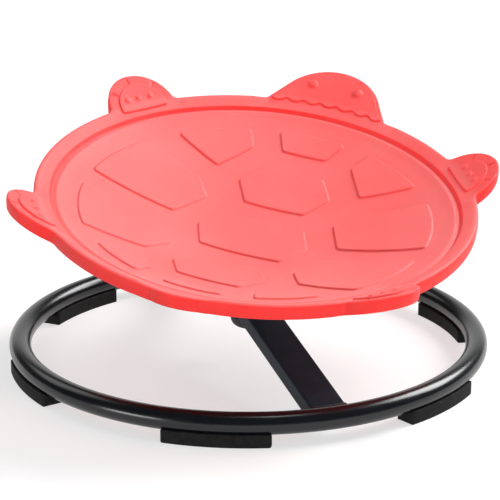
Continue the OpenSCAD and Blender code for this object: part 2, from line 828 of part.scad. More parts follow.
base_ring();
cross_bar();
bearing_sleeve();
foot_1();
foot_2();
foot_3();
foot_4();
foot_5();
foot_6();
foot_screws();
sleeve_cap();
circlip();
upper_outer_race();
upper_inner_race();
upper_balls();
upper_cage();
lower_outer_race();
lower_inner_race();
lower_balls();
lower_cage();
bearing_spacer();
spindle();
spindle_washer();
spindle_nut();
dust_cover();
seat_plate();
seat_bolts();
bolt_washers();
thread_inserts();
seat_shell();
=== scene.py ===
# %% [markdown]
# A turtle seat that spins.
# The object is a moulded coral dish in the shape of a turtle. It turns on a leaning hub, over a
# black steel ring with rubber pads. The solids come in as a frame that is already in place, in
# metres, so every piece made here only has to follow the same sizes.

# %% Load the frame
import json
import math
import bpy
import numpy as np
from mathutils import Matrix, Vector
from mathutils.geometry import delaunay_2d_cdt
from mathutils.kdtree import KDTree


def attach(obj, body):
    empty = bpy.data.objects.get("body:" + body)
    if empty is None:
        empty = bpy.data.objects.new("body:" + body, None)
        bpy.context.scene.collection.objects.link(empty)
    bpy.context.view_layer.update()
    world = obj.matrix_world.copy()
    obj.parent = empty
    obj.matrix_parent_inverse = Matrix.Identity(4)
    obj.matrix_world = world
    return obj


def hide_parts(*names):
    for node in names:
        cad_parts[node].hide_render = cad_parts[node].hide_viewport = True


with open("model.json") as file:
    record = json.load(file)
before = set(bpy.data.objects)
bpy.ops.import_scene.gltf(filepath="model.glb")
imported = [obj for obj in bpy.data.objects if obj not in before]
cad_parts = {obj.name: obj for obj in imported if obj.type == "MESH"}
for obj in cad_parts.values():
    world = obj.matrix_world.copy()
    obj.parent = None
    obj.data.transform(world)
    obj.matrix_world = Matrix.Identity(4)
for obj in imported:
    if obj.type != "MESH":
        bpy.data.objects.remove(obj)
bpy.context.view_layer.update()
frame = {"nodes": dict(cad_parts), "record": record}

nodes = frame["nodes"]
MM = 0.001
print("frame loaded:", len(nodes), "nodes")

# %% [markdown]
# Two frames carry the whole job. The hub's frame leans with the spinning axis. The seat's frame
# sits on the rim's top plane and is turned so that its +Y points to the turtle's head. Working in
# these frames keeps the numbers simple: a height of zero is the rim, a radius is a radius. The
# helpers turn points in millimetres into meshes in metres.

# %% Frames and mesh helpers
LEAN, HEAD_TURN = math.radians(11.8), math.radians(-39.6)
RING_R, RING_Z, RING_TUBE_R = 262.5, 24.0, 12.5
HUB_Z, RIM_RISE = 68.7, 142.046
hub_frame = Matrix.Translation((0, 0, HUB_Z)) @ Matrix.Rotation(LEAN, 4, "X")
seat_frame = hub_frame @ Matrix.Translation((0, 0, RIM_RISE)) @ Matrix.Rotation(HEAD_TURN, 4, "Z")


def placed(points, at):
    """Points in millimetres in a frame, as metres in the part's own frame."""
    m = np.array(at)
    return (np.asarray(points, float) @ m[:3, :3].T + m[:3, 3]) * MM


def add_piece(name, points, faces, at, material, sharp=40):
    """One mesh piece with smooth faces and sharp edges over a given angle."""
    mesh = bpy.data.meshes.new(name)
    mesh.from_pydata(placed(points, at).tolist(), [], [list(map(int, f)) for f in faces])
    mesh.validate()
    mesh.shade_smooth()
    mesh.set_sharp_from_angle(angle=math.radians(sharp))
    piece = bpy.data.objects.new(name, mesh)
    bpy.context.scene.collection.objects.link(piece)
    mesh.materials.append(material)
    return piece


def start_mesh(name, points, faces, edges=()):
    """A plain mesh for a node tree to start from."""
    mesh = bpy.data.meshes.new(name)
    mesh.from_pydata((np.asarray(points, float) * MM).tolist(), list(edges), faces)
    return mesh


def rows_to_faces(rows, count):
    """Quads between closed rows of points that follow each other."""
    faces = []
    for r in range(rows - 1):
        for k in range(count):
            a, b = r * count + k, r * count + (k + 1) % count
            faces.append((a, b, b + count, a + count))
    return faces


print("hub leans", round(math.degrees(LEAN), 1), "degrees")

# %% [markdown]
# The camera stands where the photographer stood: far away with a long lens, about twenty degrees
# above the floor, a little to the left of the low end of the bar. It looks slightly above the
# ring's middle, which puts the ring low in the square picture.

# %% Camera
CAMERA_AZIMUTH, CAMERA_ELEVATION = math.radians(-19.56), math.radians(20.25)
CAMERA_DISTANCE, AIM_UP, AIM_RIGHT = 2.891, 0.101, 0.002
LENS, SENSOR, FAR_CLIP = 180, 36, 50
scene = bpy.context.scene
ring_middle = Vector((0, 0, RING_Z * MM))
back = Vector((math.sin(CAMERA_AZIMUTH) * math.cos(CAMERA_ELEVATION),
               -math.cos(CAMERA_AZIMUTH) * math.cos(CAMERA_ELEVATION), math.sin(CAMERA_ELEVATION)))
right = Vector((0, 0, 1)).cross(back).normalized()
lens_up = back.cross(right)
camera_data = bpy.data.cameras.new("camera")
camera_data.lens, camera_data.sensor_width, camera_data.clip_end = LENS, SENSOR, FAR_CLIP
camera = bpy.data.objects.new("camera", camera_data)
scene.collection.objects.link(camera)
camera.location = ring_middle + back * CAMERA_DISTANCE
look = (ring_middle + lens_up * AIM_UP + right * AIM_RIGHT - camera.location).normalized()
camera.rotation_euler = look.to_track_quat("-Z", "Y").to_euler()
scene.camera = camera
print("camera at", [round(v, 3) for v in camera.location])

# %% [markdown]
# Floor, world and finishes are all node trees. Three small helpers start a material, add nodes and
# join their sockets, so that the steps below can say what is joined to what and nothing more.

# %% Material helpers


def node_material(name):
    """A new material, its tree and its main shader."""
    material = bpy.data.materials.new(name)
    material.use_nodes = True
    tree = material.node_tree
    return material, tree, tree.nodes["Principled BSDF"]


def add_nodes(tree, *kinds):
    """New shader nodes of the given kinds."""
    return [tree.nodes.new("ShaderNode" + kind) for kind in kinds]


def join(tree, *pairs):
    """Links from each first socket to its second."""
    for source, target in pairs:
        tree.links.new(source, target)


scene.view_settings.view_transform = "Standard"
print("view transform:", scene.view_settings.view_transform)

# %% [markdown]
# A product picture stands on a pale floor that keeps a soft shadow. To the camera and to
# reflections this floor glows a little and also takes light. To all other rays it is a plain grey,
# so it doesn't pour extra light on the object. Away from the object it fades to white, so that its
# far edge doesn't show from any side.

# %% Floor
FLOOR_GLOW, FLOOR_DIFFUSE, FLOOR_BOUNCE = 0.62, 0.44, 0.50
FADE_FROM, FADE_TO, FLOOR_HALF = 0.7, 2.2, 30.0
floor_material, tree, shader = node_material("studio_floor")
tree.nodes.remove(shader)
path, seen, glow, lit, near, bounce, mix = add_nodes(
    tree, "LightPath", "Math", "Emission", "BsdfDiffuse", "AddShader", "BsdfDiffuse", "MixShader")
spot, reach, fade, white, shown = add_nodes(
    tree, "TexCoord", "VectorMath", "MapRange", "Emission", "MixShader")
seen.operation, reach.operation, fade.interpolation_type = "MAXIMUM", "LENGTH", "SMOOTHSTEP"
fade.inputs["From Min"].default_value, fade.inputs["From Max"].default_value = FADE_FROM, FADE_TO
glow.inputs["Strength"].default_value = FLOOR_GLOW
for emitter in (glow, white):
    emitter.inputs["Color"].default_value = (1, 1, 1, 1)
for diffuse, grey in ((lit, FLOOR_DIFFUSE), (bounce, FLOOR_BOUNCE)):
    diffuse.inputs["Color"].default_value = (grey, grey, grey, 1)
join(tree, (glow.outputs[0], near.inputs[0]), (lit.outputs[0], near.inputs[1]),
     (spot.outputs["Object"], reach.inputs[0]), (reach.outputs["Value"], fade.inputs["Value"]),
     (fade.outputs["Result"], shown.inputs[0]), (near.outputs[0], shown.inputs[1]),
     (white.outputs[0], shown.inputs[2]), (path.outputs["Is Camera Ray"], seen.inputs[0]),
     (path.outputs["Is Glossy Ray"], seen.inputs[1]), (seen.outputs[0], mix.inputs[0]),
     (bounce.outputs[0], mix.inputs[1]), (shown.outputs[0], mix.inputs[2]),
     (mix.outputs[0], tree.nodes["Material Output"].inputs["Surface"]))
floor_mesh = bpy.data.meshes.new("floor")
floor_mesh.from_pydata([(-FLOOR_HALF, -FLOOR_HALF, 0), (FLOOR_HALF, -FLOOR_HALF, 0),
                        (FLOOR_HALF, FLOOR_HALF, 0), (-FLOOR_HALF, FLOOR_HALF, 0)], [], [(0, 1, 2, 3)])
floor_mesh.materials.append(floor_material)
floor = bpy.data.objects.new("floor", floor_mesh)
scene.collection.objects.link(floor)
print("floor fades to white from", FADE_FROM, "to", FADE_TO, "m")

# %% [markdown]
# The world is the room round the object. The camera sees it white. Reflections see a white wall
# behind the object and a dark room elsewhere, which gives the black tube its long light and dark
# bands. All other rays get a dim, even fill.

# %% World
WORLD_FILL, WALL_GLOSS, ROOM_GLOSS, WALL_EDGE, WALL_MIDDLE = 0.28, 1.0, 0.05, 0.80, 0.92
world = bpy.data.worlds.new("studio")
scene.world = world
world.use_nodes = True
tree = world.node_tree
path, ray, facing, room, level, backdrop = add_nodes(
    tree, "LightPath", "TexCoord", "VectorMath", "MapRange", "Mix", "Mix")
facing.operation = "DOT_PRODUCT"
facing.inputs[1].default_value = -Vector((back.x, back.y, 0)).normalized()
for socket, value in (("From Min", WALL_EDGE), ("From Max", WALL_MIDDLE),
                      ("To Min", ROOM_GLOSS), ("To Max", WALL_GLOSS)):
    room.inputs[socket].default_value = value
level.inputs[2].default_value, backdrop.inputs[3].default_value = WORLD_FILL, 1.0
join(tree, (ray.outputs["Generated"], facing.inputs[0]), (facing.outputs["Value"], room.inputs["Value"]),
     (path.outputs["Is Glossy Ray"], level.inputs[0]), (room.outputs["Result"], level.inputs[3]),
     (path.outputs["Is Camera Ray"], backdrop.inputs[0]), (level.outputs[0], backdrop.inputs[2]),
     (backdrop.outputs[0], tree.nodes["Background"].inputs["Strength"]))
tree.nodes["Background"].inputs["Color"].default_value = (1, 1, 1, 1)
print("world fill:", WORLD_FILL)

# %% [markdown]
# Five soft lamps. The key stands far off to the right and lights the dish and the right-hand edges
# of its panels. A weak one behind and a weak one above soften the shadows. Two stand low, at the
# left and in front: they reach the seat's skirt more than its top. The front one is hidden from
# reflections. The left one isn't, and draws a thin line of light along the tube.

# %% Lamps
SEAT_AIM, FLOOR_AIM = (0, 0, 0.15), (0, 0, 0)
LAMPS = (("lamp_key", (4.1, 0.7, 3.6), SEAT_AIM, (2.8, 2.8), 330, True),
         ("lamp_back", (-1.3, 1.7, 1.9), SEAT_AIM, (1.4, 1.4), 10, True),
         ("lamp_top", (0.3, -0.3, 2.3), FLOOR_AIM, (0.8, 0.4), 9, True),
         ("lamp_left", (-2.7, -0.9, 0.2), SEAT_AIM, (1.2, 0.4), 20, True),
         ("lamp_front", (0.3, -2.9, 0.3), SEAT_AIM, (1.8, 0.5), 44, False))
for name, place, aim, size, watts, in_reflections in LAMPS:
    data = bpy.data.lights.new(name, "AREA")
    data.shape, data.size, data.size_y, data.energy = "RECTANGLE", *size, watts
    lamp = bpy.data.objects.new(name, data)
    scene.collection.objects.link(lamp)
    lamp.location = place
    lamp.rotation_euler = (Vector(aim) - Vector(place)).to_track_quat("-Z", "Y").to_euler()
    lamp.visible_glossy = in_reflections
print("lamps:", len(LAMPS))

# %% [markdown]
# Finishes. Real plastic is never one flat colour: the moulding has slightly milky patches and a
# fine satin grain. Powder coat has an orange-peel skin, the bar's coat is duller, and rubber is
# dull and pebbled. The bar's coat is the ring's powder coat, made bluer and lighter: partly its own
# navy-black, partly painted light against the red light the seat throws on it. Each finish mixes
# two close colours with noise, varies its roughness and adds a small bump. All noise reads object
# coordinates, so it stays on the piece when the seat turns.

# %% Finishes
PATCH_LOW, PATCH_HIGH, PATCH_DETAIL, GRAIN_DETAIL, GRAIN_DEPTH = 0.35, 0.68, 3.0, 2.0, 0.0003
BAR_GLOSS, RUBBER_GLOSS = 0.08, 0.2
# name, dark and light colour, patches per metre, roughness, grains per metre, bump, metal
FINISHES = (
    ("coral_plastic", (0.94, 0.152, 0.150), (0.96, 0.182, 0.180), 9, (0.46, 0.60), 2600, 0.10, 0.0),
    ("black_powder_coat", (0.0042, 0.0050, 0.0066), (0.0062, 0.0072, 0.0092), 40, (0.18, 0.28), 1500, 0.10,
     0.0),
    # painted light: the ring's powder coat made bluer and lighter, against the red light and shade from the
    # seat
    ("black_bar_coat", (0.015, 0.026, 0.040), (0.020, 0.032, 0.048), 40, (0.40, 0.54), 1500, 0.10, 0.0),
    ("black_rubber", (0.006, 0.006, 0.006), (0.012, 0.012, 0.012), 160, (0.62, 0.82), 900, 0.5, 0.0),
    ("black_plastic", (0.012, 0.012, 0.013), (0.018, 0.018, 0.019), 60, (0.45, 0.6), 1800, 0.2, 0.0),
    ("zinc_plate", (0.48, 0.49, 0.50), (0.62, 0.62, 0.60), 220, (0.28, 0.46), 2400, 0.15, 1.0),
    ("ground_steel", (0.58, 0.59, 0.61), (0.70, 0.71, 0.72), 300, (0.14, 0.28), 3000, 0.08, 1.0),
    ("brass", (0.62, 0.44, 0.17), (0.74, 0.55, 0.25), 260, (0.24, 0.4), 2400, 0.12, 1.0))


def finish(name, dark, light, patch, rough, grain, bump, metal):
    """A material with patchy colour, uneven roughness and a fine grain."""
    material, tree, shader = node_material(name)
    where, broad, fine, ramp, spread, relief = add_nodes(
        tree, "TexCoord", "TexNoise", "TexNoise", "ValToRGB", "MapRange", "Bump")
    for noise, scale, detail in ((broad, patch, PATCH_DETAIL), (fine, grain, GRAIN_DETAIL)):
        noise.inputs["Scale"].default_value = scale
        noise.inputs["Detail"].default_value = detail
        tree.links.new(where.outputs["Object"], noise.inputs["Vector"])
    for stop, position, colour in zip(ramp.color_ramp.elements, (PATCH_LOW, PATCH_HIGH), (dark, light)):
        stop.position, stop.color = position, (*colour, 1)
    spread.inputs["To Min"].default_value, spread.inputs["To Max"].default_value = rough
    relief.inputs["Strength"].default_value = bump
    relief.inputs["Distance"].default_value = GRAIN_DEPTH
    shader.inputs["Metallic"].default_value = metal
    join(tree, (broad.outputs["Fac"], ramp.inputs["Fac"]), (fine.outputs["Fac"], spread.inputs["Value"]),
         (fine.outputs["Fac"], relief.inputs["Height"]), (relief.outputs["Normal"], shader.inputs["Normal"]),
         (ramp.outputs["Color"], shader.inputs["Base Color"]),
         (spread.outputs["Result"], shader.inputs["Roughness"]))
    return material


made = {row[0]: finish(*row) for row in FINISHES}
coral, black_steel, bar_coat = made["coral_plastic"], made["black_powder_coat"], made["black_bar_coat"]
rubber, zinc = made["black_rubber"], made["zinc_plate"]
for dull, gloss in ((bar_coat, BAR_GLOSS), (rubber, RUBBER_GLOSS)):
    dull.node_tree.nodes["Principled BSDF"].inputs["Specular IOR Level"].default_value = gloss
slot_finish = {"coral_plastic": coral, "black_steel": black_steel, "black_rubber": rubber,
               "black_plastic": made["black_plastic"], "zinc_steel": zinc,
               "bearing_steel": made["ground_steel"], "brass": made["brass"]}
for part in frame["record"]["subparts"]:
    mesh = nodes[part["node"]].data
    mesh.materials.clear()
    mesh.materials.append(bar_coat if part["node"] == "cross_bar" else slot_finish[part["material_slot"]])
print("finishes:", len(made))

# %% [markdown]
# Light goes a little way into the coral plastic, so even its shadows stay red. That is subsurface
# scattering. Light and shade are also painted into the colour: the skirt, the limbs and the groove
# get a deeper red as painted shade, and faces that look up get the paler top colour as painted
# light. A value kept on each point of the seat mixes the two colours. The ribs have no such value
# and take the painted-shade red.

# %% Two tones of coral: painted light and shade
# painted shade: this deeper red stands for the shade on the skirt, the limbs and the groove
PAINTED_SHADE_COLOUR = (0.99, 0.050, 0.046, 1)
DEPTH_OF_LIGHT = (("Specular IOR Level", 0.3), ("Subsurface Weight", 1.0), ("Subsurface Scale", 0.0026),
                  ("Subsurface Radius", (1.0, 0.12, 0.10)))
tree = coral.node_tree
coral_shader = tree.nodes["Principled BSDF"]
for socket, value in DEPTH_OF_LIGHT:
    coral_shader.inputs[socket].default_value = value
# painted light and shade: a value on each point mixes the paler lit top colour with the painted-shade red
painted_lit_value, painted_light_mix = add_nodes(tree, "Attribute", "Mix")
painted_lit_value.attribute_name, painted_light_mix.data_type = "satin", "RGBA"
painted_light_mix.inputs[6].default_value = PAINTED_SHADE_COLOUR
top_colour = coral_shader.inputs["Base Color"].links[0].from_socket
join(tree, (painted_lit_value.outputs["Fac"], painted_light_mix.inputs[0]), (top_colour, painted_light_mix.inputs[7]),
     (painted_light_mix.outputs[2], coral_shader.inputs["Base Color"]))
print("coral has two tones")

# %% [markdown]
# The seat is one moulding, so it is one mesh. Its plan is a round rim with a head, four flippers
# and a tail, and every part of its top has one height, so it can be drawn flat first: loops of
# points follow each edge, a triangulation fills between them, and each point is then lifted to its
# height. That gives crisp edges exactly where the mould has them. First come helpers that draw
# arcs and rounded corners.

# %% Arcs and corners
RIM_R, SKIRT_H, DRAFT = 250.0, 17.0, 0.6
DISH_R, RIM_WALL_H, BOWL_R, WALL = 227.0, 10.5, 555.0, 4.0
DISH_DEPTH = RIM_WALL_H + BOWL_R - math.sqrt(BOWL_R ** 2 - DISH_R ** 2)
FEWEST_ARC, FEWEST_LOOP = 3, 8


def arc(middle, radius, start, end, step=2.0):
    """Points on an arc, with angles in degrees."""
    count = max(FEWEST_ARC, int(abs(math.radians(end - start)) * radius / step) + 1)
    t = np.radians(np.linspace(start, end, count))
    return np.stack([middle[0] + radius * np.cos(t), middle[1] + radius * np.sin(t)], 1)


def circle(radius, count, middle=(0, 0)):
    """Points on a full circle."""
    t = np.linspace(0, 2 * math.pi, count, endpoint=False)
    return np.stack([middle[0] + radius * np.cos(t), middle[1] + radius * np.sin(t)], 1)


def corner(a, b, c, radius, steps=5):
    """Points that round the corner b between a and c."""
    a, b, c = (np.asarray(p, float) for p in (a, b, c))
    u, v = (a - b) / np.linalg.norm(a - b), (c - b) / np.linalg.norm(c - b)
    half = math.acos(np.clip(u @ v, -1, 1)) / 2
    middle = b + (u + v) / np.linalg.norm(u + v) * radius / math.sin(half)
    first, last = b + u * radius / math.tan(half) - middle, b + v * radius / math.tan(half) - middle
    start = math.atan2(first[1], first[0])
    turn = math.atan2(first[0] * last[1] - first[1] * last[0], first @ last)
    t = start + turn * np.linspace(0, 1, steps + 1)
    return middle + radius * np.stack([np.cos(t), np.sin(t)], 1)


def rounded_line(points, steps=5):
    """An open line through [x, y, rounding] corners."""
    line = [np.array([points[0][:2]], float)]
    for a, b, c in zip(points[:-2], points[1:-1], points[2:]):
        line.append(corner(a[:2], b[:2], c[:2], b[2], steps) if b[2] else np.array([b[:2]], float))
    line.append(np.array([points[-1][:2]], float))
    return np.concatenate(line)


print("dish is", round(DISH_DEPTH, 1), "mm deep")

# %% [markdown]
# The next helpers work on closed loops: they spread points evenly, find which way is outwards, turn
# a loop about the axis and tell which points of the plan a loop holds.

# %% Closed loops


def even(loop, step):
    """A closed loop with its points spread evenly."""
    closed = np.vstack([loop, loop[:1]])
    along = np.concatenate([[0], np.cumsum(np.linalg.norm(np.diff(closed, axis=0), axis=1))])
    count = max(FEWEST_LOOP, int(round(along[-1] / step)))
    at = np.linspace(0, along[-1], count, endpoint=False)
    return np.stack([np.interp(at, along, closed[:, k]) for k in (0, 1)], 1)


def outward(loop):
    """Unit normals of a closed loop that runs counter-clockwise."""
    along = np.roll(loop, -1, 0) - np.roll(loop, 1, 0)
    normal = np.stack([along[:, 1], -along[:, 0]], 1)
    return normal / np.linalg.norm(normal, axis=1)[:, None]


def counter_clockwise(loop):
    """The loop itself, or its reverse if it runs clockwise."""
    following = np.roll(loop, -1, 0)
    area = (loop[:, 0] * following[:, 1] - loop[:, 1] * following[:, 0]).sum()
    return loop if area > 0 else loop[::-1]


def inside(points, loop):
    """Which points lie inside a closed loop."""
    hit = np.zeros(len(points), bool)
    low, high = loop.min(0), loop.max(0)
    near = np.where(((points >= low) & (points <= high)).all(1))[0]
    x, y = points[near, 0], points[near, 1]
    found = np.zeros(len(near), bool)
    for (x0, y0), (x1, y1) in zip(loop, np.roll(loop, -1, 0)):
        if y0 != y1:
            found ^= ((y0 > y) != (y1 > y)) & (x < (x1 - x0) * (y - y0) / (y1 - y0) + x0)
    hit[near] = found
    return hit


def turned(points, degrees):
    """Points turned about the axis."""
    c, s = math.cos(math.radians(degrees)), math.sin(math.radians(degrees))
    return np.asarray(points, float) @ np.array([[c, s], [-s, c]])


def degrees_of(v):
    """Direction of a vector in degrees."""
    return math.degrees(math.atan2(v[1], v[0]))


print("rim is", round(2 * math.pi * RIM_R), "mm round")

# %% [markdown]
# The outline is drawn limb by limb. Each limb is a circle set out from the axis, and where it
# meets the rim a small fillet rounds the inner corner, because a mould has no sharp inside
# corners. The head has sloping sides that widen towards the rim.

# %% Outline of the turtle
FILLET, OUTLINE_STEP = 7.0, 2.0
FLIPPER_R, FLIPPER_OUT = 44.0, 242.5
TAIL_R, TAIL_OUT = 40.0, 219.0
HEAD_R, HEAD_OUT, HEAD_FLARE = 66.5, 235.0, 30.5
FRONT_TURN, HIND_TURN, TAIL_TURN = 53.8, 128.0, -180
flare = math.radians(HEAD_FLARE)
flare_out = np.array([math.cos(flare), math.sin(flare)])
flare_down = np.array([math.sin(flare), -math.cos(flare)])


def short_arc(middle, radius, p, q, step=1.0):
    """The shorter arc from p to q."""
    start, end = degrees_of(p - middle), degrees_of(q - middle)
    return arc(middle, radius, start, start + (end - start + 180) % 360 - 180, step)


def round_limb(out, radius):
    """Right half of a round limb that points to +Y: fillet, then limb up to its tip."""
    reach, side = RIM_R + FILLET, radius + FILLET
    fy = (reach ** 2 - side ** 2 + out ** 2) / (2 * out)
    fillet = np.array([math.sqrt(reach ** 2 - fy ** 2), fy])
    middle = np.array([0, out])
    on_limb = middle + (fillet - middle) * radius / side
    first = short_arc(fillet, FILLET, fillet * RIM_R / reach, on_limb)
    return np.vstack([first, arc(middle, radius, degrees_of(on_limb - middle), 90)[1:]])


def head_limb():
    """Right half of the head: fillet, sloping side, then the round top."""
    reach, middle = RIM_R + FILLET, np.array([0, HEAD_OUT])
    touch = middle + HEAD_R * flare_out
    base = touch + flare_out * FILLET
    half = base @ flare_down
    along = -half - math.sqrt(half ** 2 - base @ base + reach ** 2)
    fillet = base + flare_down * along
    first = short_arc(fillet, FILLET, fillet * RIM_R / reach, touch + flare_down * along)
    return np.vstack([first, arc(middle, HEAD_R, HEAD_FLARE, 90)])


def whole_limb(half):
    """A limb from its right half."""
    return np.vstack([half, (half * [-1, 1])[-2::-1]])


flipper, tail = whole_limb(round_limb(FLIPPER_OUT, FLIPPER_R)), whole_limb(round_limb(TAIL_OUT, TAIL_R))
limbs = [(TAIL_TURN, tail), (-HIND_TURN, flipper), (-FRONT_TURN, flipper), (0, whole_limb(head_limb())),
         (FRONT_TURN, flipper), (HIND_TURN, flipper)]
stretches = []
for k, (turn, limb) in enumerate(limbs):
    points = turned(limb, turn)
    next_turn, next_limb = limbs[(k + 1) % len(limbs)]
    start = degrees_of(points[-1])
    end = degrees_of(turned(next_limb[:1], next_turn)[0])
    stretches += [points[:-1], arc((0, 0), RIM_R, start, start + (end - start) % 360)[:-1]]
outline = even(counter_clockwise(np.vstack(stretches)), OUTLINE_STEP)
normals = outward(outline)
print("outline:", len(outline), "points,", [round(float(v)) for v in np.ptp(outline, axis=0)], "mm")

# %% [markdown]
# Heights. Around the axis the dish is part of a large sphere. Its edge ends in a narrow, nearly
# flat lip. A short wall follows, then the rim, a band that slopes up to a rounded crest near the
# outside. On the limbs the band goes on without a crest. A height is read from a line of
# (radius, height) points: one line for the rim, one for the limbs and one for the underside.

# %% Lines of height
GROOVE_R, LIP_IN_R, LIP_OUT_R, LIP_Z, LIP_FALL = 216, 224.0, 229.2, -10.9, 1.0
BAND_R, BAND_LOW, LIMB_SLOPE = 232.3, -6.9, math.tan(math.radians(19))
CREST_R, CREST_ROUND = 246.8, 7.4
RIM_SLOPE, RIM_FALL = math.tan(math.radians(27)), math.tan(math.radians(20))
DISH_END, UNDER_END, UNDER_GROOVE_R, FAR_R = 215, 222, 223, 400
LIP_SOFT, WALL_FOOT_SOFT, BAND_SOFT = 2.0, 0.8, 1.2
UNDER_LIP, UNDER_BAND = (229.6, -15.0, 2.0), (233.2, -10.2, 2.0)
DISH_POINTS, UNDER_POINTS, GROOVE_BEND, UNDER_BEND = 55, 40, 8, 5
bowl_z = BOWL_R - DISH_DEPTH
crest_z = BAND_LOW + (CREST_R - BAND_R) * RIM_SLOPE


def dish_z(r, below=0.0):
    """Height of the dish's sphere, or of one that lies a distance below it."""
    return bowl_z - np.sqrt((BOWL_R + below) ** 2 - np.asarray(r, float) ** 2)


def band_z(r):
    """Height of the band that runs on into the limbs."""
    return BAND_LOW + (r - BAND_R) * LIMB_SLOPE


def dish_line(end, count, below=0.0):
    """The dish as a line of heights, from the axis to a radius."""
    r = np.linspace(0, end, count)
    return np.stack([r, dish_z(r, below)], 1)


groove = [(GROOVE_R, float(dish_z(GROOVE_R)), 0), (LIP_IN_R, LIP_Z, LIP_SOFT),
          (LIP_OUT_R, LIP_Z - LIP_FALL, WALL_FOOT_SOFT), (BAND_R, BAND_LOW, BAND_SOFT)]
limb_end = [(FAR_R, band_z(FAR_R), 0)]
rim_end = [(CREST_R, crest_z, CREST_ROUND), (FAR_R, crest_z - (FAR_R - CREST_R) * RIM_FALL, 0)]
limb_line, rim_line = (np.vstack([dish_line(DISH_END, DISH_POINTS), rounded_line(groove + end, GROOVE_BEND)])
                       for end in (limb_end, rim_end))
under_groove = [(UNDER_GROOVE_R, float(dish_z(UNDER_GROOVE_R, WALL)), 0), UNDER_LIP, UNDER_BAND,
                (RIM_R, band_z(RIM_R) - WALL, 0)]
under_line = np.vstack([dish_line(UNDER_END, UNDER_POINTS, WALL), rounded_line(under_groove, UNDER_BEND),
                        [[FAR_R, band_z(FAR_R) - WALL]]])
print("crest of the rim at most", round(float(rim_line[:, 1].max()), 2), "mm high")

# %% [markdown]
# The limbs curl up a little more than the band, like a bent sheet: first an arc, then a slope. Near
# a limb's root the two heights are blended, so that rim and limb run into each other.

# %% Limbs and bare heights
# radius where the curl starts, radius of its bend, slope in degrees
HEAD_CURL, FLIPPER_CURL = (242, 60, 5), (240, 22, 11.5)
LIMB_BLEND = 12


def smooth(t):
    """A soft step from 0 to 1."""
    t = np.clip(t, 0, 1)
    return t * t * (3 - 2 * t)


def lift(r, start, bend, slope):
    """Height of a limb that curls up from start."""
    s = math.radians(slope)
    r = np.maximum(np.asarray(r, float) - start, 0)
    curve = bend - np.sqrt(np.maximum(bend ** 2 - np.minimum(r, bend * math.sin(s)) ** 2, 0))
    return curve + np.maximum(r - bend * math.sin(s), 0) * math.tan(s)


def beyond(p, out, radius):
    """How far points lie outside a round limb that points to +Y."""
    return np.hypot(p[:, 0], p[:, 1] - out) - radius


def limb_rise(points):
    """How much each point of the plan belongs to a limb, and how far the limb lifts it."""
    r = np.linalg.norm(points, axis=1)
    share, total = np.zeros(len(points)), np.zeros(len(points))
    for turn, _ in limbs:
        p = turned(points, -turn)
        if turn == 0:
            slant = (np.abs(p[:, 0]) * math.cos(flare) + (p[:, 1] - HEAD_OUT) * math.sin(flare)) - HEAD_R
            low = p[:, 1] < HEAD_OUT + HEAD_R * math.sin(flare)
            away, curl = np.where(low, slant, beyond(p, HEAD_OUT, HEAD_R)), HEAD_CURL
        elif turn == TAIL_TURN:
            away, curl = beyond(p, TAIL_OUT, TAIL_R), HEAD_CURL
        else:
            away, curl = beyond(p, FLIPPER_OUT, FLIPPER_R), FLIPPER_CURL
        here = np.where(p[:, 1] > 0, smooth(1 - away / LIMB_BLEND), 0)
        share, total = np.maximum(share, here), total + here * lift(r, *curl)
    return share, total


def bare_top(points):
    """Height of the top without its raised work."""
    r = np.linalg.norm(points, axis=1)
    share, rise = limb_rise(points)
    return np.interp(r, *rim_line.T) * (1 - share) + np.interp(r, *limb_line.T) * share + rise


def bare_under(points):
    """Height of the underside without its ribs."""
    return np.interp(np.linalg.norm(points, axis=1), *under_line.T) + limb_rise(points)[1]


print("rim at 0, dish floor at", round(float(bare_top(np.zeros((1, 2)))[0]), 1), "mm")

# %% [markdown]
# Thirteen raised panels make the shell. Each is a closed loop, and its side is a short soft slope
# made of six loops: two at the foot, two in between and two on top. The doubled loops keep the
# shading of the slope off the flat faces beside it. Five panels lie on the middle line and are
# given by their right half. The other eight are four pairs, left and right.

# %% Shell panels
PANEL_REACH, PANEL_H, PANEL_CORNER, PANEL_STEP, FIELD_STEP = 200.0, 2.2, 4.0, 2.2, 9.0
SLOPE = ((1.6, 0.0), (0.8, 0.0), (0.25, 0.22), (-0.55, 0.78), (-1.2, 1.0), (-2.0, 1.0))
relief = []          # (mid loop, height, rows of (loop, height))


def raise_shape(loop, height, slope=SLOPE, step=PANEL_STEP):
    """Notes a raised shape, with a slope of (distance outwards, share of the height)."""
    loop = even(counter_clockwise(np.asarray(loop, float)), step)
    n = outward(loop)
    relief.append((loop, height, [(loop + n * d, height * share) for d, share in slope]))


def soften(points, radius):
    """A closed loop with its [x, y] corners rounded; points with a third number stay as they are."""
    out = []
    for k, b in enumerate(points):
        a, c = points[k - 1], points[(k + 1) % len(points)]
        out.append(corner(a[:2], b[:2], c[:2], radius) if len(b) == 2 else np.array([b[:2]], float))
    return np.vstack(out)


def field_arc(start, end):
    """In-between points of the panel field's round edge, marked to stay as they are."""
    edge = arc((0, 0), PANEL_REACH, degrees_of(start), degrees_of(end), FIELD_STEP)
    return [(x, y, 0) for x, y in edge[1:-1]]


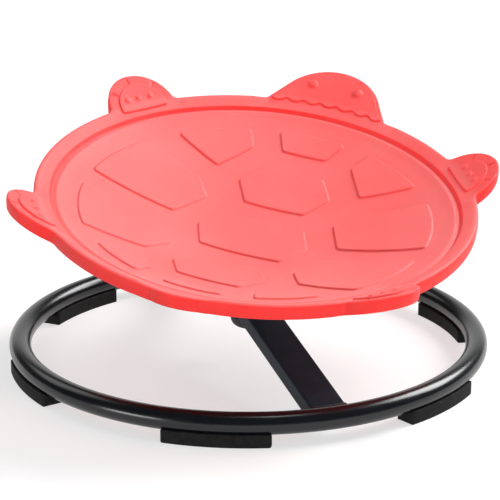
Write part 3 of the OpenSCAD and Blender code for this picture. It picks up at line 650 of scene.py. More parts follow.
middle_panels = [([(27, 167), (41, 195.7)], "head end"), ([(36, 66), (56, 101), (36, 136)], "inside"),
                 ([(48, -46), (66, -5), (48, 35)], "inside"),
                 ([(36, -147), (54.5, -112), (38, -78)], "inside"),
                 ([(35, -196.9), (28, -178)], "tail end")]
for half, place in middle_panels:
    mirrored = [(-x, y) for x, y in half[::-1]]
    head_edge = field_arc(half[-1], mirrored[0]) if place == "head end" else []
    tail_edge = field_arc(mirrored[-1], half[0]) if place == "tail end" else []
    raise_shape(soften(half + head_edge + mirrored + tail_edge, PANEL_CORNER), PANEL_H)
side_panels = [[(61, 160), (88, 112), (148, 134.5), "arc", (74, 185.8)],
               [(97, 80), (77, 51.5), (99, 1.5), (199.99, 1.5), "arc", (172.5, 101.2)],
               [(91, -31), (73, -73), (90, -106), (159, -121.4), "arc", (197.6, -31)],
               [(77, -137), (60, -163), (67, -188.4), "arc", (131.5, -150.7)]]
for shape in side_panels:
    k = shape.index("arc")
    loop = shape[:k] + field_arc(shape[k - 1], shape[k + 1]) + shape[k + 1:]
    for sign in (1, -1):
        raise_shape(soften([(sign * p[0], *p[1:]) for p in loop][::sign], PANEL_CORNER), PANEL_H)
print("shell panels:", len(relief))

# %% [markdown]
# The head's face follows the head's own outline five millimetres in. Its lower edge is a row of
# even scallops around the seat's axis, so it can be written as a distance from the axis for each
# angle: one wave, and a small second one that makes its hollows long and its peaks short. Two
# round eyes stand on the face.

# %% Face and eyes
FACE_H, FACE_EDGE, FACE_STEP, FACE_SIDE_ROWS = 2.4, 5.0, 1.6, 12
SCALLOP_MID, SCALLOP_WAVE, SCALLOP_PEAK, SCALLOP_STEP = 246.5, 1.8, 0.25, 4.75
SCALLOP_REACH, SCALLOP_POINTS, SCALLOP_THIN = 20, 2001, 10
FACE_SLOPE = ((1.2, 0.0), (0.6, 0.0), (0.2, 0.3), (-0.4, 0.78), (-1.0, 1.0), (-1.7, 1.0))
EYE_X, EYE_Y, EYE_R, EYE_H = 28.5, 271.5, 6.5, 3.2


def scallop_line(angle):
    """Distance of the scalloped edge from the axis, at angles from the head in degrees."""
    t = 2 * math.pi * angle / SCALLOP_STEP
    return SCALLOP_MID - SCALLOP_WAVE * np.cos(t) + SCALLOP_PEAK * np.cos(2 * t)


def face_loop():
    """The face's outline: scallops, the sloping side and the round top, then their mirror image."""
    touch = np.array([0, HEAD_OUT]) + (HEAD_R - FACE_EDGE) * flare_out
    angle = np.linspace(0, SCALLOP_REACH, SCALLOP_POINTS)
    r = scallop_line(angle)
    low = np.stack([r * np.sin(np.radians(angle)), r * np.cos(np.radians(angle))], 1)
    low = low[:np.argmax((low - touch) @ flare_out > 0)][::SCALLOP_THIN]
    side = touch + np.outer(np.linspace((low[-1] - touch) @ flare_down, 0, FACE_SIDE_ROWS), flare_down)
    top = arc((0, HEAD_OUT), HEAD_R - FACE_EDGE, HEAD_FLARE, 90)
    half_loop = np.vstack([low, side[1:], top[1:]])
    return np.vstack([half_loop, (half_loop * [-1, 1])[-2:0:-1]])


raise_shape(face_loop(), FACE_H, FACE_SLOPE, FACE_STEP)
domes = [((sign * EYE_X, EYE_Y), EYE_R, EYE_H) for sign in (1, -1)]
print("eyes:", len(domes))

# %% [markdown]
# Each flipper carries a raised pad with a straight inner edge, three small dots on it, and three
# short toe lines pressed into the margin round the pad.

# %% Flipper pads, dots and toe lines
FLIPPER_PAD_R, FLIPPER_PAD_IN, FLIPPER_PAD_CORNER, FLIPPER_PAD_STEP = 30.5, 239.0, 2.5, 1.8
DOT_OUT, DOT_STEP, DOT_SHIFT, DOT_R, DOT_H = 253.0, 15.5, -2.0, 3.5, 1.5
TOE_ANGLES, TOE_REACH, TOE_HALF, TOE_DEPTH, TOE_STEP = (-52, -5, 45), (33.2, 39.2), 1.1, 1.4, 0.9
TOE_SLOPE, TOE_END_STEP, PAD_ARC_STEP = ((0.15, 0.0), (-0.6, 1.0)), 0.5, 4.0
pad_drop = FLIPPER_PAD_IN - FLIPPER_OUT
pad_start = degrees_of((math.sqrt(FLIPPER_PAD_R ** 2 - pad_drop ** 2), pad_drop))
pad_arc = arc((0, FLIPPER_OUT), FLIPPER_PAD_R, pad_start, 180 - pad_start, PAD_ARC_STEP)
pad_points = [(x, y, 0) for x, y in pad_arc]
pad_points[0], pad_points[-1] = pad_points[0][:2], pad_points[-1][:2]
toe_lines = []
for turn in (FRONT_TURN, HIND_TURN, -FRONT_TURN, -HIND_TURN):
    sign = 1 if turn > 0 else -1
    raise_shape(turned(soften(pad_points, FLIPPER_PAD_CORNER), turn), FACE_H, FACE_SLOPE, FLIPPER_PAD_STEP)
    for k in (-1, 0, 1):
        dot = turned([(sign * (DOT_SHIFT + k * DOT_STEP), DOT_OUT)], turn)[0]
        domes.append((tuple(dot), DOT_R, DOT_H))
    for toe in TOE_ANGLES:
        a = math.radians(90 - sign * toe)
        ends = [np.array([0, FLIPPER_OUT]) + r * np.array([math.cos(a), math.sin(a)]) for r in TOE_REACH]
        toe_lines.append(turned(ends, turn))
for a, b in toe_lines:
    t = degrees_of(b - a)
    loop = np.vstack([arc(b, TOE_HALF, t - 90, t + 90, TOE_END_STEP),
                      arc(a, TOE_HALF, t + 90, t + 270, TOE_END_STEP)])
    raise_shape(loop, -TOE_DEPTH, TOE_SLOPE, TOE_STEP)
print("relief shapes:", len(relief), "domes:", len(domes))

# %% [markdown]
# A flat sheet with fixed edges can be filled with triangles by one call, a constrained Delaunay
# triangulation. All loops go in as fixed edges, and a loose net of points fills the rest, kept away
# from the loops so that no sliver appears.

# %% Triangulation helpers
SAME_POINT = 1e-5


def search_tree(points):
    """A tree that finds the nearest of many points."""
    tree = KDTree(len(points))
    for k, p in enumerate(points):
        tree.insert((p[0], p[1], 0), k)
    tree.balance()
    return tree


def net(step, keep_in, taken, gap):
    """Points of an even net inside a loop and clear of the points that are taken."""
    low, high = keep_in.min(0), keep_in.max(0)
    columns = np.arange(low[0], high[0], step)
    rows = np.arange(low[1], high[1], step * math.sqrt(3) / 2)
    grid = np.vstack([np.stack([columns + (k % 2) * step / 2, np.full(len(columns), y)], 1)
                      for k, y in enumerate(rows)])
    grid = grid[inside(grid, keep_in)]
    tree = search_tree(taken)
    clear = [tree.find((p[0], p[1], 0))[2] > gap for p in grid]
    return grid[np.array(clear)]


def sheet(border, loops, extra):
    """Triangles inside a border that keep every loop, and where the border's points went."""
    points, edges = [], []
    for loop in [border] + loops:
        first = sum(len(p) for p in points)
        points.append(loop)
        edges += [(first + k, first + (k + 1) % len(loop)) for k in range(len(loop))]
    points = np.vstack(points + [extra])
    got = delaunay_2d_cdt([Vector(p) for p in points], edges, [], 1, SAME_POINT)
    back_to = {o: k for k, origin in enumerate(got[3]) for o in origin}
    flat = np.array([tuple(v) for v in got[0]])
    return flat, [tuple(f) for f in got[2]], [back_to[k] for k in range(len(border))]


print("points closer than", SAME_POINT, "mm count as one")

# %% [markdown]
# Now the top itself. The rows of points lie close together where the lip, the wall and the crest
# bend, and further apart in the dish. The small profile of the moulding's edge is drawn here too,
# because its first point says where the top ends.

# %% Triangulated top
EDGE_ROUND, LIP_ROUND, LIP_IN_ROUND, ROOF_ROUND, EDGE_IN = 2.8, 1.8, 1.2, 1.5, 9
RIM_ROWS = (216.0, 218.6, 221.2, 222.9, 223.6, 224.3, 225.0, 225.7, 227.0, 228.4, 228.9, 229.3, 229.7, 230.3,
            231.2, 231.8, 232.3, 232.9, 233.8, 235.2, 236.8)
RIM_STEPS = 560
CREST_ROWS, CREST_STEPS, CREST_SHARE = (238.6, 240.4, 242.2, 243.6, 244.7, 245.7), 760, 0.01
DOME_ROWS, DOME_STEPS = (1.0, 0.9, 0.72, 0.5, 0.25), 24
DISH_NET, DISH_GAP, LIMB_NET, LIMB_GAP, LIMB_NET_R = 6.0, 3.2, 3.6, 1.9, 238.5
NET_EDGE, EDGE_STEPS = (0, 358, 4), 6
edge_line = rounded_line([(-EDGE_IN, 0, 0), (-DRAFT, 0, EDGE_ROUND), (0, -SKIRT_H / 2, 0),
                          (-DRAFT, -SKIRT_H, LIP_ROUND), (-DRAFT - WALL, -SKIRT_H, LIP_IN_ROUND),
                          (-DRAFT - WALL, -WALL, ROOF_ROUND), (-EDGE_IN, -WALL, 0)], EDGE_STEPS)[1:-1]
top_border = outline + normals * edge_line[0, 0]
dome_loops = [circle(radius * share, DOME_STEPS, middle)
              for middle, radius, _ in domes for share in DOME_ROWS]
loops = [circle(r, RIM_STEPS) for r in RIM_ROWS] + dome_loops
loops += [row for _, _, rows in relief for row, _ in rows]
crest_points = np.vstack([circle(r, CREST_STEPS) for r in CREST_ROWS])
crest_points = crest_points[limb_rise(crest_points)[0] < CREST_SHARE]
taken = np.vstack([top_border, crest_points] + loops)
dish_net = net(DISH_NET, arc((0, 0), DISH_END, *NET_EDGE), taken, DISH_GAP)
limb_net = net(LIMB_NET, top_border, taken, LIMB_GAP)
limb_net = limb_net[np.linalg.norm(limb_net, axis=1) > LIMB_NET_R]
extra = np.vstack([dish_net, crest_points, limb_net, [middle for middle, _, _ in domes]])
flat, top_faces, top_rim = sheet(top_border, loops, extra)
print("top sheet:", len(flat), "points", len(top_faces), "triangles")

# %% [markdown]
# Each point of the flat sheet then takes its height: the bare moulding, plus the raised work it
# stands on, plus a dome if it lies on an eye or a dot. A point that came from a loop takes the
# height of that loop.

# %% Heights of the top
ON_LOOP, NEAR_SHAPE = 1e-3, 3


def relief_height(points):
    """Height of the raised work at points of the plan."""
    total = np.zeros(len(points))
    for mid, height, rows in relief:
        share = np.where(inside(points, mid), height, 0.0)
        tree = search_tree(np.vstack([row for row, _ in rows]))
        values = np.concatenate([np.full(len(row), value) for row, value in rows])
        low, high = mid.min(0) - NEAR_SHAPE, mid.max(0) + NEAR_SHAPE
        for k in np.where(((points >= low) & (points <= high)).all(1))[0]:
            _, index, far = tree.find((points[k, 0], points[k, 1], 0))
            if far < ON_LOOP:
                share[k] = values[index]
        total += share
    for (x, y), radius, height in domes:
        ball = (radius ** 2 + height ** 2) / (2 * height)
        d = np.hypot(points[:, 0] - x, points[:, 1] - y)
        dome = np.sqrt(np.maximum(ball ** 2 - d ** 2, 0)) - ball + height
        total += np.where(d < radius + ON_LOOP, dome, 0).clip(0)
    return total


top = np.column_stack([flat, bare_top(flat) + relief_height(flat)])
print("top from", round(float(top[:, 2].min()), 1), "to", round(float(top[:, 2].max()), 1), "mm")

# %% [markdown]
# The edge of the moulding is one small profile carried round the whole outline: over the rounded
# top edge, down the skirt, round its lower lip and up its inner side. The underside is a second
# triangulated sheet, and the three parts share their border points, so the shell is closed.

# %% Edge, underside and the finished shell
UNDER_ROWS, UNDER_STEPS = (223, 226.5, 228.5, 230.5, 232.5, 234.5, 237), 240
UNDER_NET, UNDER_GAP, UNDER_NET_R = 9.0, 5.0, 220
LIMB_UNDER_NET, LIMB_UNDER_GAP, LIMB_UNDER_R = 5.0, 2.6, 239
SEAT_SHARP = 50
count = len(outline)
points, faces = [top], list(top_faces)
total = len(top)
ring_before = np.array(top_rim)
for d, z in edge_line[1:]:
    ring = outline + normals * d
    points.append(np.column_stack([ring, bare_top(ring) + z]))
    ring_now = np.arange(total, total + count)
    for k in range(count):
        m = (k + 1) % count
        faces.append((ring_before[m], ring_before[k], ring_now[k], ring_now[m]))
    ring_before, total = ring_now, total + count
under_border = outline + normals * edge_line[-1, 0]
under_loops = [circle(r, UNDER_STEPS) for r in UNDER_ROWS]
under_taken = np.vstack([under_border] + under_loops)
dish_under = net(UNDER_NET, arc((0, 0), UNDER_NET_R, *NET_EDGE), under_taken, UNDER_GAP)
limb_under = net(LIMB_UNDER_NET, under_border, under_taken, LIMB_UNDER_GAP)
limb_under = limb_under[np.linalg.norm(limb_under, axis=1) > LIMB_UNDER_R]
flat_under, under_faces, under_rim = sheet(under_border, under_loops, np.vstack([dish_under, limb_under]))
under = np.column_stack([flat_under, bare_under(flat_under)])
new_index = {u: int(ring_before[k]) for k, u in enumerate(under_rim)}
kept = [k for k in range(len(under)) if k not in new_index]
new_index.update({k: total + place for place, k in enumerate(kept)})
points = np.vstack(points + [under[kept]])
faces += [tuple(new_index[i] for i in f[::-1]) for f in under_faces]
seat = add_piece("seat_turtle", points, faces, seat_frame, coral, SEAT_SHARP)
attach(seat, "seat")
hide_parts("seat_shell")
print("seat:", len(points), "points", sum(len(f) - 2 for f in faces), "triangles")

# %% [markdown]
# The value on each point says how much of the paler top colour it shows, as painted light, against
# the deeper red of painted shade. It is 1 on faces that look up and falls to 0 on the skirt. On the
# limbs, in the groove and on the rim's band it is lowered to a given share, with soft ends, as
# painted shade.

# %% Painted light and shade of the seat
FLANK_UP, FLANK_SPAN = 0.35, 0.5
# share that is left, radius where it starts and its ramp, radius where it stops and its ramp
PAINTED_SHADE_BANDS = ((0.5, 243, 12, math.inf, 1), (0.3, 228.8, 1.2, 233.2, 1.4), (0.78, 231, 2, 246, 6))
axis_up = np.array(seat_frame)[:3, 2]
vertex_normals = np.array([tuple(v.normal) for v in seat.data.vertices])
plan = np.linalg.norm(points[:, :2], axis=1)
# painted light: the more a face looks up, the more of the paler top colour it gets
satin = smooth((vertex_normals @ axis_up - FLANK_UP) / FLANK_SPAN)
# painted shade: the limbs, the groove and the rim's band are pushed towards the deeper red
for share, start, ramp_in, stop, ramp_out in PAINTED_SHADE_BANDS:
    satin *= 1 - (1 - share) * smooth((plan - start) / ramp_in) * smooth((stop - plan) / ramp_out)
seat.data.attributes.new("satin", "FLOAT", "POINT").data.foreach_set("value", satin.astype(np.float32))
print("satin is", round(float(satin.mean()), 2), "on average")

# %% [markdown]
# What repeats or follows a path is grown by small node trees. Each has named inputs, so a learner
# can change a count and run it again. The helpers start a tree, end it in real geometry with its
# finish, and run it on a start mesh, which leaves a plain mesh behind.

# %% Node tree helpers
GROWN_SHARP = 42


def new_tree(name, sockets):
    """An empty tree with named inputs, and a helper that adds a node with its links."""
    tree = bpy.data.node_groups.new(name, "GeometryNodeTree")
    for way in ("INPUT", "OUTPUT"):
        tree.interface.new_socket("Geometry", in_out=way, socket_type="NodeSocketGeometry")
    for title, kind in sockets:
        tree.interface.new_socket(title, in_out="INPUT", socket_type="NodeSocket" + kind)
    start, end = tree.nodes.new("NodeGroupInput"), tree.nodes.new("NodeGroupOutput")

    def add(kind, links=(), **settings):
        node = tree.nodes.new(kind)
        for key, value in settings.items():
            setattr(node, key, value)
        for socket, source in links:
            if hasattr(source, "is_output"):
                tree.links.new(source, node.inputs[socket])
            else:
                node.inputs[socket].default_value = source
        return node
    return tree, start.outputs, end.inputs, add


def close_tree(tree, end, add, source, given):
    """Every tree ends in real geometry with its finish."""
    real = add("GeometryNodeRealizeInstances", [("Geometry", source)])
    smooth_faces = add("GeometryNodeSetShadeSmooth", [("Geometry", real.outputs[0])])
    dressed = add("GeometryNodeSetMaterial", [("Geometry", smooth_faces.outputs[0]),
                                              ("Material", given["Finish"])])
    tree.links.new(dressed.outputs[0], end["Geometry"])


def grow(name, tree, values, mesh=None):
    """Runs a tree on a start mesh and keeps the result as a plain mesh."""
    piece = bpy.data.objects.new(name, mesh or bpy.data.meshes.new(name))
    scene.collection.objects.link(piece)
    modifier = piece.modifiers.new("grow", "NODES")
    modifier.node_group = tree
    for item in tree.interface.items_tree:
        if item.in_out == "INPUT" and item.name in values:
            modifier[item.identifier] = values[item.name]
    bpy.context.view_layer.update()
    done = bpy.data.meshes.new_from_object(piece.evaluated_get(bpy.context.evaluated_depsgraph_get()))
    piece.modifiers.clear()
    piece.data = done
    done.set_sharp_from_angle(angle=math.radians(GROWN_SHARP))
    print(name + ":", len(done.polygons), "faces")
    return piece


print("grown pieces have sharp edges over", GROWN_SHARP, "degrees")

# %% [markdown]
# The first tree takes one finished shape and sets it round an axis at even steps. Screws, pads, ribs
# and bosses all use it, so each of them has to be made only once.

# %% Tree that sets a shape round
round_tree, given, end, add = new_tree(
    "set_round", [("Count", "Int"), ("First", "Float"), ("Move", "Vector"), ("Turn", "Vector"),
                  ("Finish", "Material")])
line = add("GeometryNodeMeshLine", [("Count", given["Count"]), ("Offset", (0, 0, 0))])
index = add("GeometryNodeInputIndex")
step = add("ShaderNodeMath", [(0, 2 * math.pi), (1, given["Count"])], operation="DIVIDE")
angle = add("ShaderNodeMath", [(0, index.outputs[0]), (1, step.outputs[0]), (2, given["First"])],
            operation="MULTIPLY_ADD")
spin = add("ShaderNodeCombineXYZ", [("Z", angle.outputs[0])])
copies = add("GeometryNodeInstanceOnPoints", [("Points", line.outputs[0]), ("Instance", given["Geometry"]),
                                              ("Rotation", spin.outputs[0])])
real = add("GeometryNodeRealizeInstances", [("Geometry", copies.outputs[0])])
moved = add("GeometryNodeTransform", [("Geometry", real.outputs[0]), ("Translation", given["Move"]),
                                      ("Rotation", given["Turn"])])
close_tree(round_tree, end, add, moved.outputs[0], given)
print("set_round:", len(round_tree.nodes), "nodes")

# %% [markdown]
# The second tree sweeps a round section along a circle. That is how the real tube is made too: a
# straight length, rolled to a ring.

# %% Tree that sweeps a ring
tube_tree, given, end, add = new_tree(
    "ring_tube", [("Ring radius", "Float"), ("Tube radius", "Float"), ("Height", "Float"),
                  ("Ring steps", "Int"), ("Tube steps", "Int"), ("Finish", "Material")])
path, section = (add("GeometryNodeCurvePrimitiveCircle", [("Resolution", given[which + " steps"]),
                                                          ("Radius", given[which + " radius"])])
                 for which in ("Ring", "Tube"))
swept = add("GeometryNodeCurveToMesh", [("Curve", path.outputs[0]), ("Profile Curve", section.outputs[0])])
height = add("ShaderNodeCombineXYZ", [("Z", given["Height"])])
moved = add("GeometryNodeTransform", [("Geometry", swept.outputs[0]), ("Translation", height.outputs[0])])
close_tree(tube_tree, end, add, moved.outputs[0], given)
print("ring_tube:", len(tube_tree.nodes), "nodes")

# %% [markdown]
# The third tree lays weld scales along a line. Each scale is a flattened bead, turned to follow the
# line, and a fixed seed makes every run give the same uneven row.

# %% Tree that lays a weld
SCALE_MIN, SCALE_MAX, SCALE_LEVELS = (0.88, 0.88, 0.55), (1.1, 1.1, 0.75), 2
weld_tree, given, end, add = new_tree(
    "weld_bead", [("Pitch", "Float"), ("Scale size", "Float"), ("Seed", "Int"), ("Finish", "Material")])
path = add("GeometryNodeMeshToCurve", [("Mesh", given["Geometry"])])
spots = add("GeometryNodeResampleCurve", [("Curve", path.outputs[0]), ("Length", given["Pitch"])],
            mode="LENGTH")
along = add("GeometryNodeInputTangent")
facing = add("FunctionNodeAlignRotationToVector", [("Vector", along.outputs[0])], axis="Z")
scale = add("GeometryNodeMeshIcoSphere", [("Radius", given["Scale size"]), ("Subdivisions", SCALE_LEVELS)])
uneven = add("FunctionNodeRandomValue", [("Min", SCALE_MIN), ("Max", SCALE_MAX), ("Seed", given["Seed"])],
             data_type="FLOAT_VECTOR")
scales = add("GeometryNodeInstanceOnPoints", [("Points", spots.outputs[0]), ("Instance", scale.outputs[0]),
                                              ("Rotation", facing.outputs[0]), ("Scale", uneven.outputs[0])])
close_tree(weld_tree, end, add, scales.outputs[0], given)
print("weld_bead:", len(weld_tree.nodes), "nodes")

# %% [markdown]
# The base ring is one length of round tube, rolled to a circle and welded shut. It is the plainest
# piece and the one with the longest highlight, so it gets many steps round the ring and round its
# section.

# %% Base ring
RING_STEPS, TUBE_STEPS = 320, 40
ring = grow("ring_tube", tube_tree, {"Ring radius": RING_R * MM, "Tube radius": RING_TUBE_R * MM,
                                     "Height": RING_Z * MM, "Ring steps": RING_STEPS,
                                     "Tube steps": TUBE_STEPS, "Finish": black_steel})
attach(ring, "base")
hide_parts("base_ring")

# %% [markdown]
# The pads are moulded rubber. Each is a short arc with a hollow back that fits the tube, rounded
# ends in plan and soft edges. One pad is swept station by station, narrowing to its rounded ends,
# and the tree sets it six times round the ring.

# %% Rubber pads
PAD_W, PAD_TOP, PAD_SPAN, PAD_END_R, END_ROUND = 25.0, 15.5, math.radians(25.5), 5.0, 3.5
PAD_LOW_ROUND, PAD_TOP_ROUND, PAD_STATIONS, HOLLOW_STEP = 1.6, 1.2, 26, 1.5
FOOT_COUNT, FOOT_FIRST = 6, math.radians(-90 - 27)
cradle_edge = math.sqrt(RING_TUBE_R ** 2 - (RING_Z - PAD_TOP) ** 2)
outside = rounded_line([(0, 0, 0), (PAD_W / 2, 0, PAD_LOW_ROUND), (PAD_W / 2, PAD_TOP, PAD_TOP_ROUND),
                        (cradle_edge, PAD_TOP, 0)])
hollow = arc((0, RING_Z), RING_TUBE_R, degrees_of((cradle_edge, PAD_TOP - RING_Z)), -90, HOLLOW_STEP)
half = np.vstack([outside, hollow[1:]])
section = np.vstack([half, (half * [-1, 1])[-2:0:-1]])
length = PAD_SPAN * RING_R
ends = np.array([0, 0.15, 0.4, 0.8, 1.3, 2.0, 3.0, 4.0, PAD_END_R])
stations = np.concatenate([ends, np.linspace(PAD_END_R, length - PAD_END_R, PAD_STATIONS)[1:-1],
                           length - ends[::-1]])
rows = []
for s in stations:
    near = min(s, length - s)
    wide = PAD_W / 2 - PAD_END_R + math.sqrt(PAD_END_R ** 2 - max(PAD_END_R - near, 0) ** 2)
    x = np.clip(section[:, 0], -wide, wide)
    soft = END_ROUND - math.sqrt(END_ROUND ** 2 - max(END_ROUND - near, 0) ** 2)
    back_z = RING_Z - np.sqrt(RING_TUBE_R ** 2 - np.minimum(np.abs(x), cradle_edge) ** 2)
    ceiling = np.where(np.abs(x) < cradle_edge, back_z, PAD_TOP)
    z = np.clip(section[:, 1], soft, np.minimum(PAD_TOP - soft, ceiling))
    z = np.where(section[:, 1] < PAD_TOP / 2, np.maximum(section[:, 1], soft), z)
    t = (s - length / 2) / RING_R
    rows.append(np.stack([(RING_R + x) * math.cos(t), (RING_R + x) * math.sin(t), z], 1))
around, last_row = len(section), (len(rows) - 1) * len(section)
pad_faces = rows_to_faces(len(rows), around)
pad_faces += [tuple(range(around))[::-1], tuple(range(last_row, last_row + around))]
pads = grow("rubber_pads", round_tree, {"Count": FOOT_COUNT, "First": FOOT_FIRST, "Finish": rubber},
            start_mesh("pad", np.vstack(rows), pad_faces))
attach(pads, "base")
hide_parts(*("foot_%d" % k for k in range(1, FOOT_COUNT + 1)))

# %% [markdown]
# Two screws hold each pad to the tube. Their heads have a cross recess and lie a few millimetres
# above the pad's underside. The pad made here is closed, without the holes of the solid pad, so its
# rubber covers them. A head is turned from a small profile, and the cross is cut into its flat face
# by the same flat triangulation that made the seat.

# %% Pad screws
SCREW_HEAD_R, SCREW_HEAD_H, SHANK_R, SCREW_LOW, SCREW_HIGH = 4.0, 2.5, 2.0, 4.0, 17.5
SCREW_STEPS, FACE_R, HEAD_EDGE, CROWN = 24, 3.2, ((3.75, 0.25), (SCREW_HEAD_R, 0.8)), 0.12
CROSS_DEPTH, CROSS_FLOOR, CROSS_INSIDE = 1.3, 0.82, 0.9
cross = counter_clockwise(np.array(
    [(0.55, 0.55), (2.3, 0.42), (2.3, -0.42), (0.55, -0.55), (0.42, -2.3), (-0.42, -2.3), (-0.55, -0.55),
     (-2.3, -0.42), (-2.3, 0.42), (-0.55, 0.55), (-0.42, 2.3), (0.42, 2.3)]))
recess = [cross, cross * CROSS_FLOOR]
face, face_tris, face_rim = sheet(circle(FACE_R, SCREW_STEPS), recess, np.zeros((0, 2)))
depth = np.where(inside(face, cross * CROSS_INSIDE), CROSS_DEPTH, 0.0)
depth -= CROWN * (1 - np.hypot(*face.T) / FACE_R).clip(0)
screw_points = [np.column_stack([face, depth])]
screw_faces = [f[::-1] for f in face_tris]
last, total = np.array(face_rim), len(face)
turning = [*HEAD_EDGE, (SCREW_HEAD_R, SCREW_HEAD_H), (SHANK_R, SCREW_HEAD_H),
           (SHANK_R, SCREW_HIGH - SCREW_LOW)]
for r, z in turning:
    screw_points.append(np.column_stack([circle(r, SCREW_STEPS), np.full(SCREW_STEPS, z)]))
    now = np.arange(total, total + SCREW_STEPS)
    for k in range(SCREW_STEPS):
        m = (k + 1) % SCREW_STEPS
        screw_faces.append((last[k], last[m], now[m], now[k]))
    last, total = now, total + SCREW_STEPS
screw_faces.append(tuple(last))
one = np.vstack(screw_points) + [0, 0, SCREW_LOW]
pair, pair_faces = [], []
for side in (-1, 1):
    t = side * PAD_SPAN / 4
    pair_faces += [tuple(int(i) + len(pair) * len(one) for i in f) for f in screw_faces]
    pair.append(one + [RING_R * math.cos(t), RING_R * math.sin(t), 0])
screws = grow("pad_screws", round_tree, {"Count": FOOT_COUNT, "First": FOOT_FIRST, "Finish": zinc},
              start_mesh("screw_pair", np.vstack(pair), pair_faces))
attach(screws, "base")
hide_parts("foot_screws")

# %% [markdown]
# Under the dish, thin ribs stiffen the moulding. A radial rib follows the underside of the sphere,
# is a little thinner at its free edge so that it leaves the mould, and is set twelve times round
# the seat's axis.

# %% Radial ribs
RIB_T, RIB_H, RIB_SINK, RIB_COUNT, RIB_END_R, RIB_ROWS = 3.0, 9.0, 1.5, 12, 226.0, 40
RIB_EDGE, RIB_FLAT, RIB_ROUND, BOLT_R = 1.3, 0.9, 0.6, 50.0
seat_move, seat_turn = tuple(seat_frame.translation * MM), tuple(seat_frame.to_euler())
rib_side = [(RIB_T / 2, RIB_SINK), (RIB_EDGE, RIB_ROUND - RIB_H), (RIB_FLAT, -RIB_H)]
rib_section = np.array([(-x, z) for x, z in rib_side] + rib_side[::-1])
corners = len(rib_section)
rib_rows = []
for r in np.linspace(BOLT_R, RIB_END_R, RIB_ROWS):
    heights = float(dish_z(r, WALL)) + rib_section[:, 1]
    rib_rows.append(np.column_stack([np.full(corners, r), rib_section[:, 0], heights]))
rib_faces = [f[::-1] for f in rows_to_faces(RIB_ROWS, corners)]
rib_faces += [tuple(range(corners)), tuple(range((RIB_ROWS - 1) * corners, RIB_ROWS * corners))[::-1]]
ribs = grow("seat_ribs", round_tree, {"Count": RIB_COUNT, "First": 0.0, "Move": seat_move,
                                      "Turn": seat_turn, "Finish": coral},
            start_mesh("rib", np.vstack(rib_rows), rib_faces))
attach(ribs, "seat")

# %% [markdown]
# One round rib crosses the radial ones, and a round wall nearer the axis joins four bosses that
# take the bolts. All are turned on the seat's axis or on a bolt's, as on a lathe, and reach a
# little way into the dish so that no gap shows.

# %% Round ribs and bosses
RIB_RING_R, RIB_RING_STEPS, WALL_STEPS, BOSS_STEPS = 145.0, 144, 96, 40
BOSS_R, BOSS_H, BOSS_WALL, BOSS_COUNT, BOSS_FIRST = 11.0, 14.0, 4.0, 4, math.pi / 4
INSERT_R, INSERT_H, BOSS_BREAK, MOUTH_BREAK, PIN_R = 4.55, 12.0, 0.6, 0.4, 0.01
BOSS_FLARE, BOSS_ROOT, ROOT_DROP, ROOT_RISE = 0.5, 2.5, 4, 0.5


def lathe(profile, steps):
    """A closed profile of (radius, height) turned about the axis."""
    t = np.linspace(0, 2 * math.pi, steps, endpoint=False)
    points = np.vstack([np.stack([r * np.cos(t), r * np.sin(t), np.full(steps, z)], 1) for r, z in profile])
    faces = rows_to_faces(len(profile), steps)
    end_row = (len(profile) - 1) * steps
    faces += [(end_row + k, end_row + (k + 1) % steps, (k + 1) % steps, k) for k in range(steps)]
    return points, faces


floor_z = -DISH_DEPTH - WALL - BOSS_H
root_z = float(dish_z(BOLT_R, WALL)) + RIB_SINK
ring_rib = [(RIB_RING_R + x, float(dish_z(RIB_RING_R, WALL)) + z) for x, z in rib_section]
ring_wall = [(BOLT_R - BOSS_WALL / 2, root_z), (BOLT_R - BOSS_WALL / 2, floor_z),
             (BOLT_R + BOSS_WALL / 2, floor_z), (BOLT_R + BOSS_WALL / 2, root_z)]
points, faces = lathe(ring_rib, RIB_RING_STEPS)
more, more_faces = lathe(ring_wall, WALL_STEPS)
faces += [tuple(i + len(points) for i in f) for f in more_faces]
rings = add_piece("seat_rings", np.vstack([points, more]), faces, seat_frame, coral)
boss = [(INSERT_R, floor_z + INSERT_H), (INSERT_R, floor_z + MOUTH_BREAK),
        (INSERT_R + MOUTH_BREAK, floor_z), (BOSS_R - BOSS_BREAK, floor_z), (BOSS_R, floor_z + BOSS_BREAK),
        (BOSS_R + BOSS_FLARE, root_z - ROOT_DROP), (BOSS_R + BOSS_ROOT, root_z + ROOT_RISE),
        (PIN_R, root_z + ROOT_RISE), (PIN_R, floor_z + INSERT_H)]
points, faces = lathe(boss, BOSS_STEPS)
bosses = grow("seat_bosses", round_tree, {"Count": BOSS_COUNT, "First": BOSS_FIRST, "Move": seat_move,
                                          "Turn": seat_turn, "Finish": coral},
              start_mesh("boss", points + [BOLT_R, 0, 0], faces))
for piece in (rings, bosses):
    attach(piece, "seat")

# %% [markdown]
# Welds hold the bar to the ring and the sleeve to the bar. A weld is a row of overlapping scales,
# so the tree lays small flattened beads along the line where the two pieces meet. On the ring the
# line is found by moving each point of the bar's section along the bar until it touches the tube.

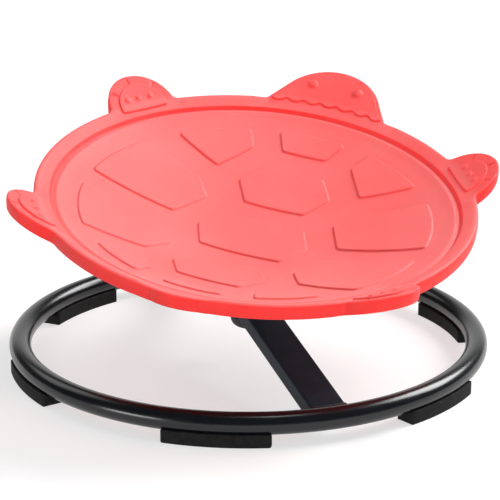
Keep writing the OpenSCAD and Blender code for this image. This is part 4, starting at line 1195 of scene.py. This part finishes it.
# %% Welds
BAR_W, BAR_H, BAR_ROUND, MITRE_REACH, SLEEVE_R = 40.0, 20.0, 3.0, 80.0, 17.0
BAR_STEP, SEARCH_STEPS, SLEEVE_STEPS = 1.5, 4000, 80
WELD_PITCH, WELD_SCALE, WELD_SEED = 0.0013, 0.0019, 4
rise = math.atan2(HUB_Z - RING_Z, RING_R)
mitre = np.array([0, MITRE_REACH * math.cos(rise), HUB_Z + MITRE_REACH * math.sin(rise)])
bar_section = even(soften([(BAR_W / 2, BAR_H / 2), (-BAR_W / 2, BAR_H / 2), (-BAR_W / 2, -BAR_H / 2),
                           (BAR_W / 2, -BAR_H / 2)], BAR_ROUND), BAR_STEP)


def bar_line(from_point, to_ring):
    """Line where the bar's outside meets the ring's tube."""
    along = np.array(to_ring, float) - from_point
    reach = np.linalg.norm(along)
    along /= reach
    side = np.array([1.0, 0, 0])
    over = np.cross(side, along)
    found = []
    for x, h in bar_section:
        start = from_point + side * x + over * h
        for d in np.linspace(0, reach, SEARCH_STEPS):
            q = start + along * d
            if math.hypot(math.hypot(q[0], q[1]) - RING_R, q[2] - RING_Z) <= RING_TUBE_R:
                found.append(q)
                break
    return np.array(found)


def sleeve_line(level):
    """Line where the sleeve meets the bar's top or underside."""
    normal = np.array([0, -math.sin(rise), math.cos(rise)])
    axis = np.array(hub_frame.to_3x3() @ Vector((0, 0, 1)))
    found = []
    for t in np.linspace(0, 2 * math.pi, SLEEVE_STEPS, endpoint=False):
        q = np.array(hub_frame.to_3x3() @ Vector((SLEEVE_R * math.cos(t), SLEEVE_R * math.sin(t), 0)))
        found.append(q + axis * (level - q @ normal) / (axis @ normal) + [0, 0, HUB_Z])
    return np.array(found)


weld_lines = [bar_line(np.array([0, 0, HUB_Z]), (0, -RING_R, RING_Z)), bar_line(mitre, (0, RING_R, RING_Z)),
              sleeve_line(BAR_H / 2), sleeve_line(-BAR_H / 2)]
weld_edges, first = [], 0
for found in weld_lines:
    weld_edges += [(first + k, first + (k + 1) % len(found)) for k in range(len(found))]
    first += len(found)
welds = grow("weld_beads", weld_tree, {"Pitch": WELD_PITCH, "Scale size": WELD_SCALE, "Seed": WELD_SEED,
                                       "Finish": black_steel},
             start_mesh("seam", np.vstack(weld_lines), [], weld_edges))
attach(welds, "base")
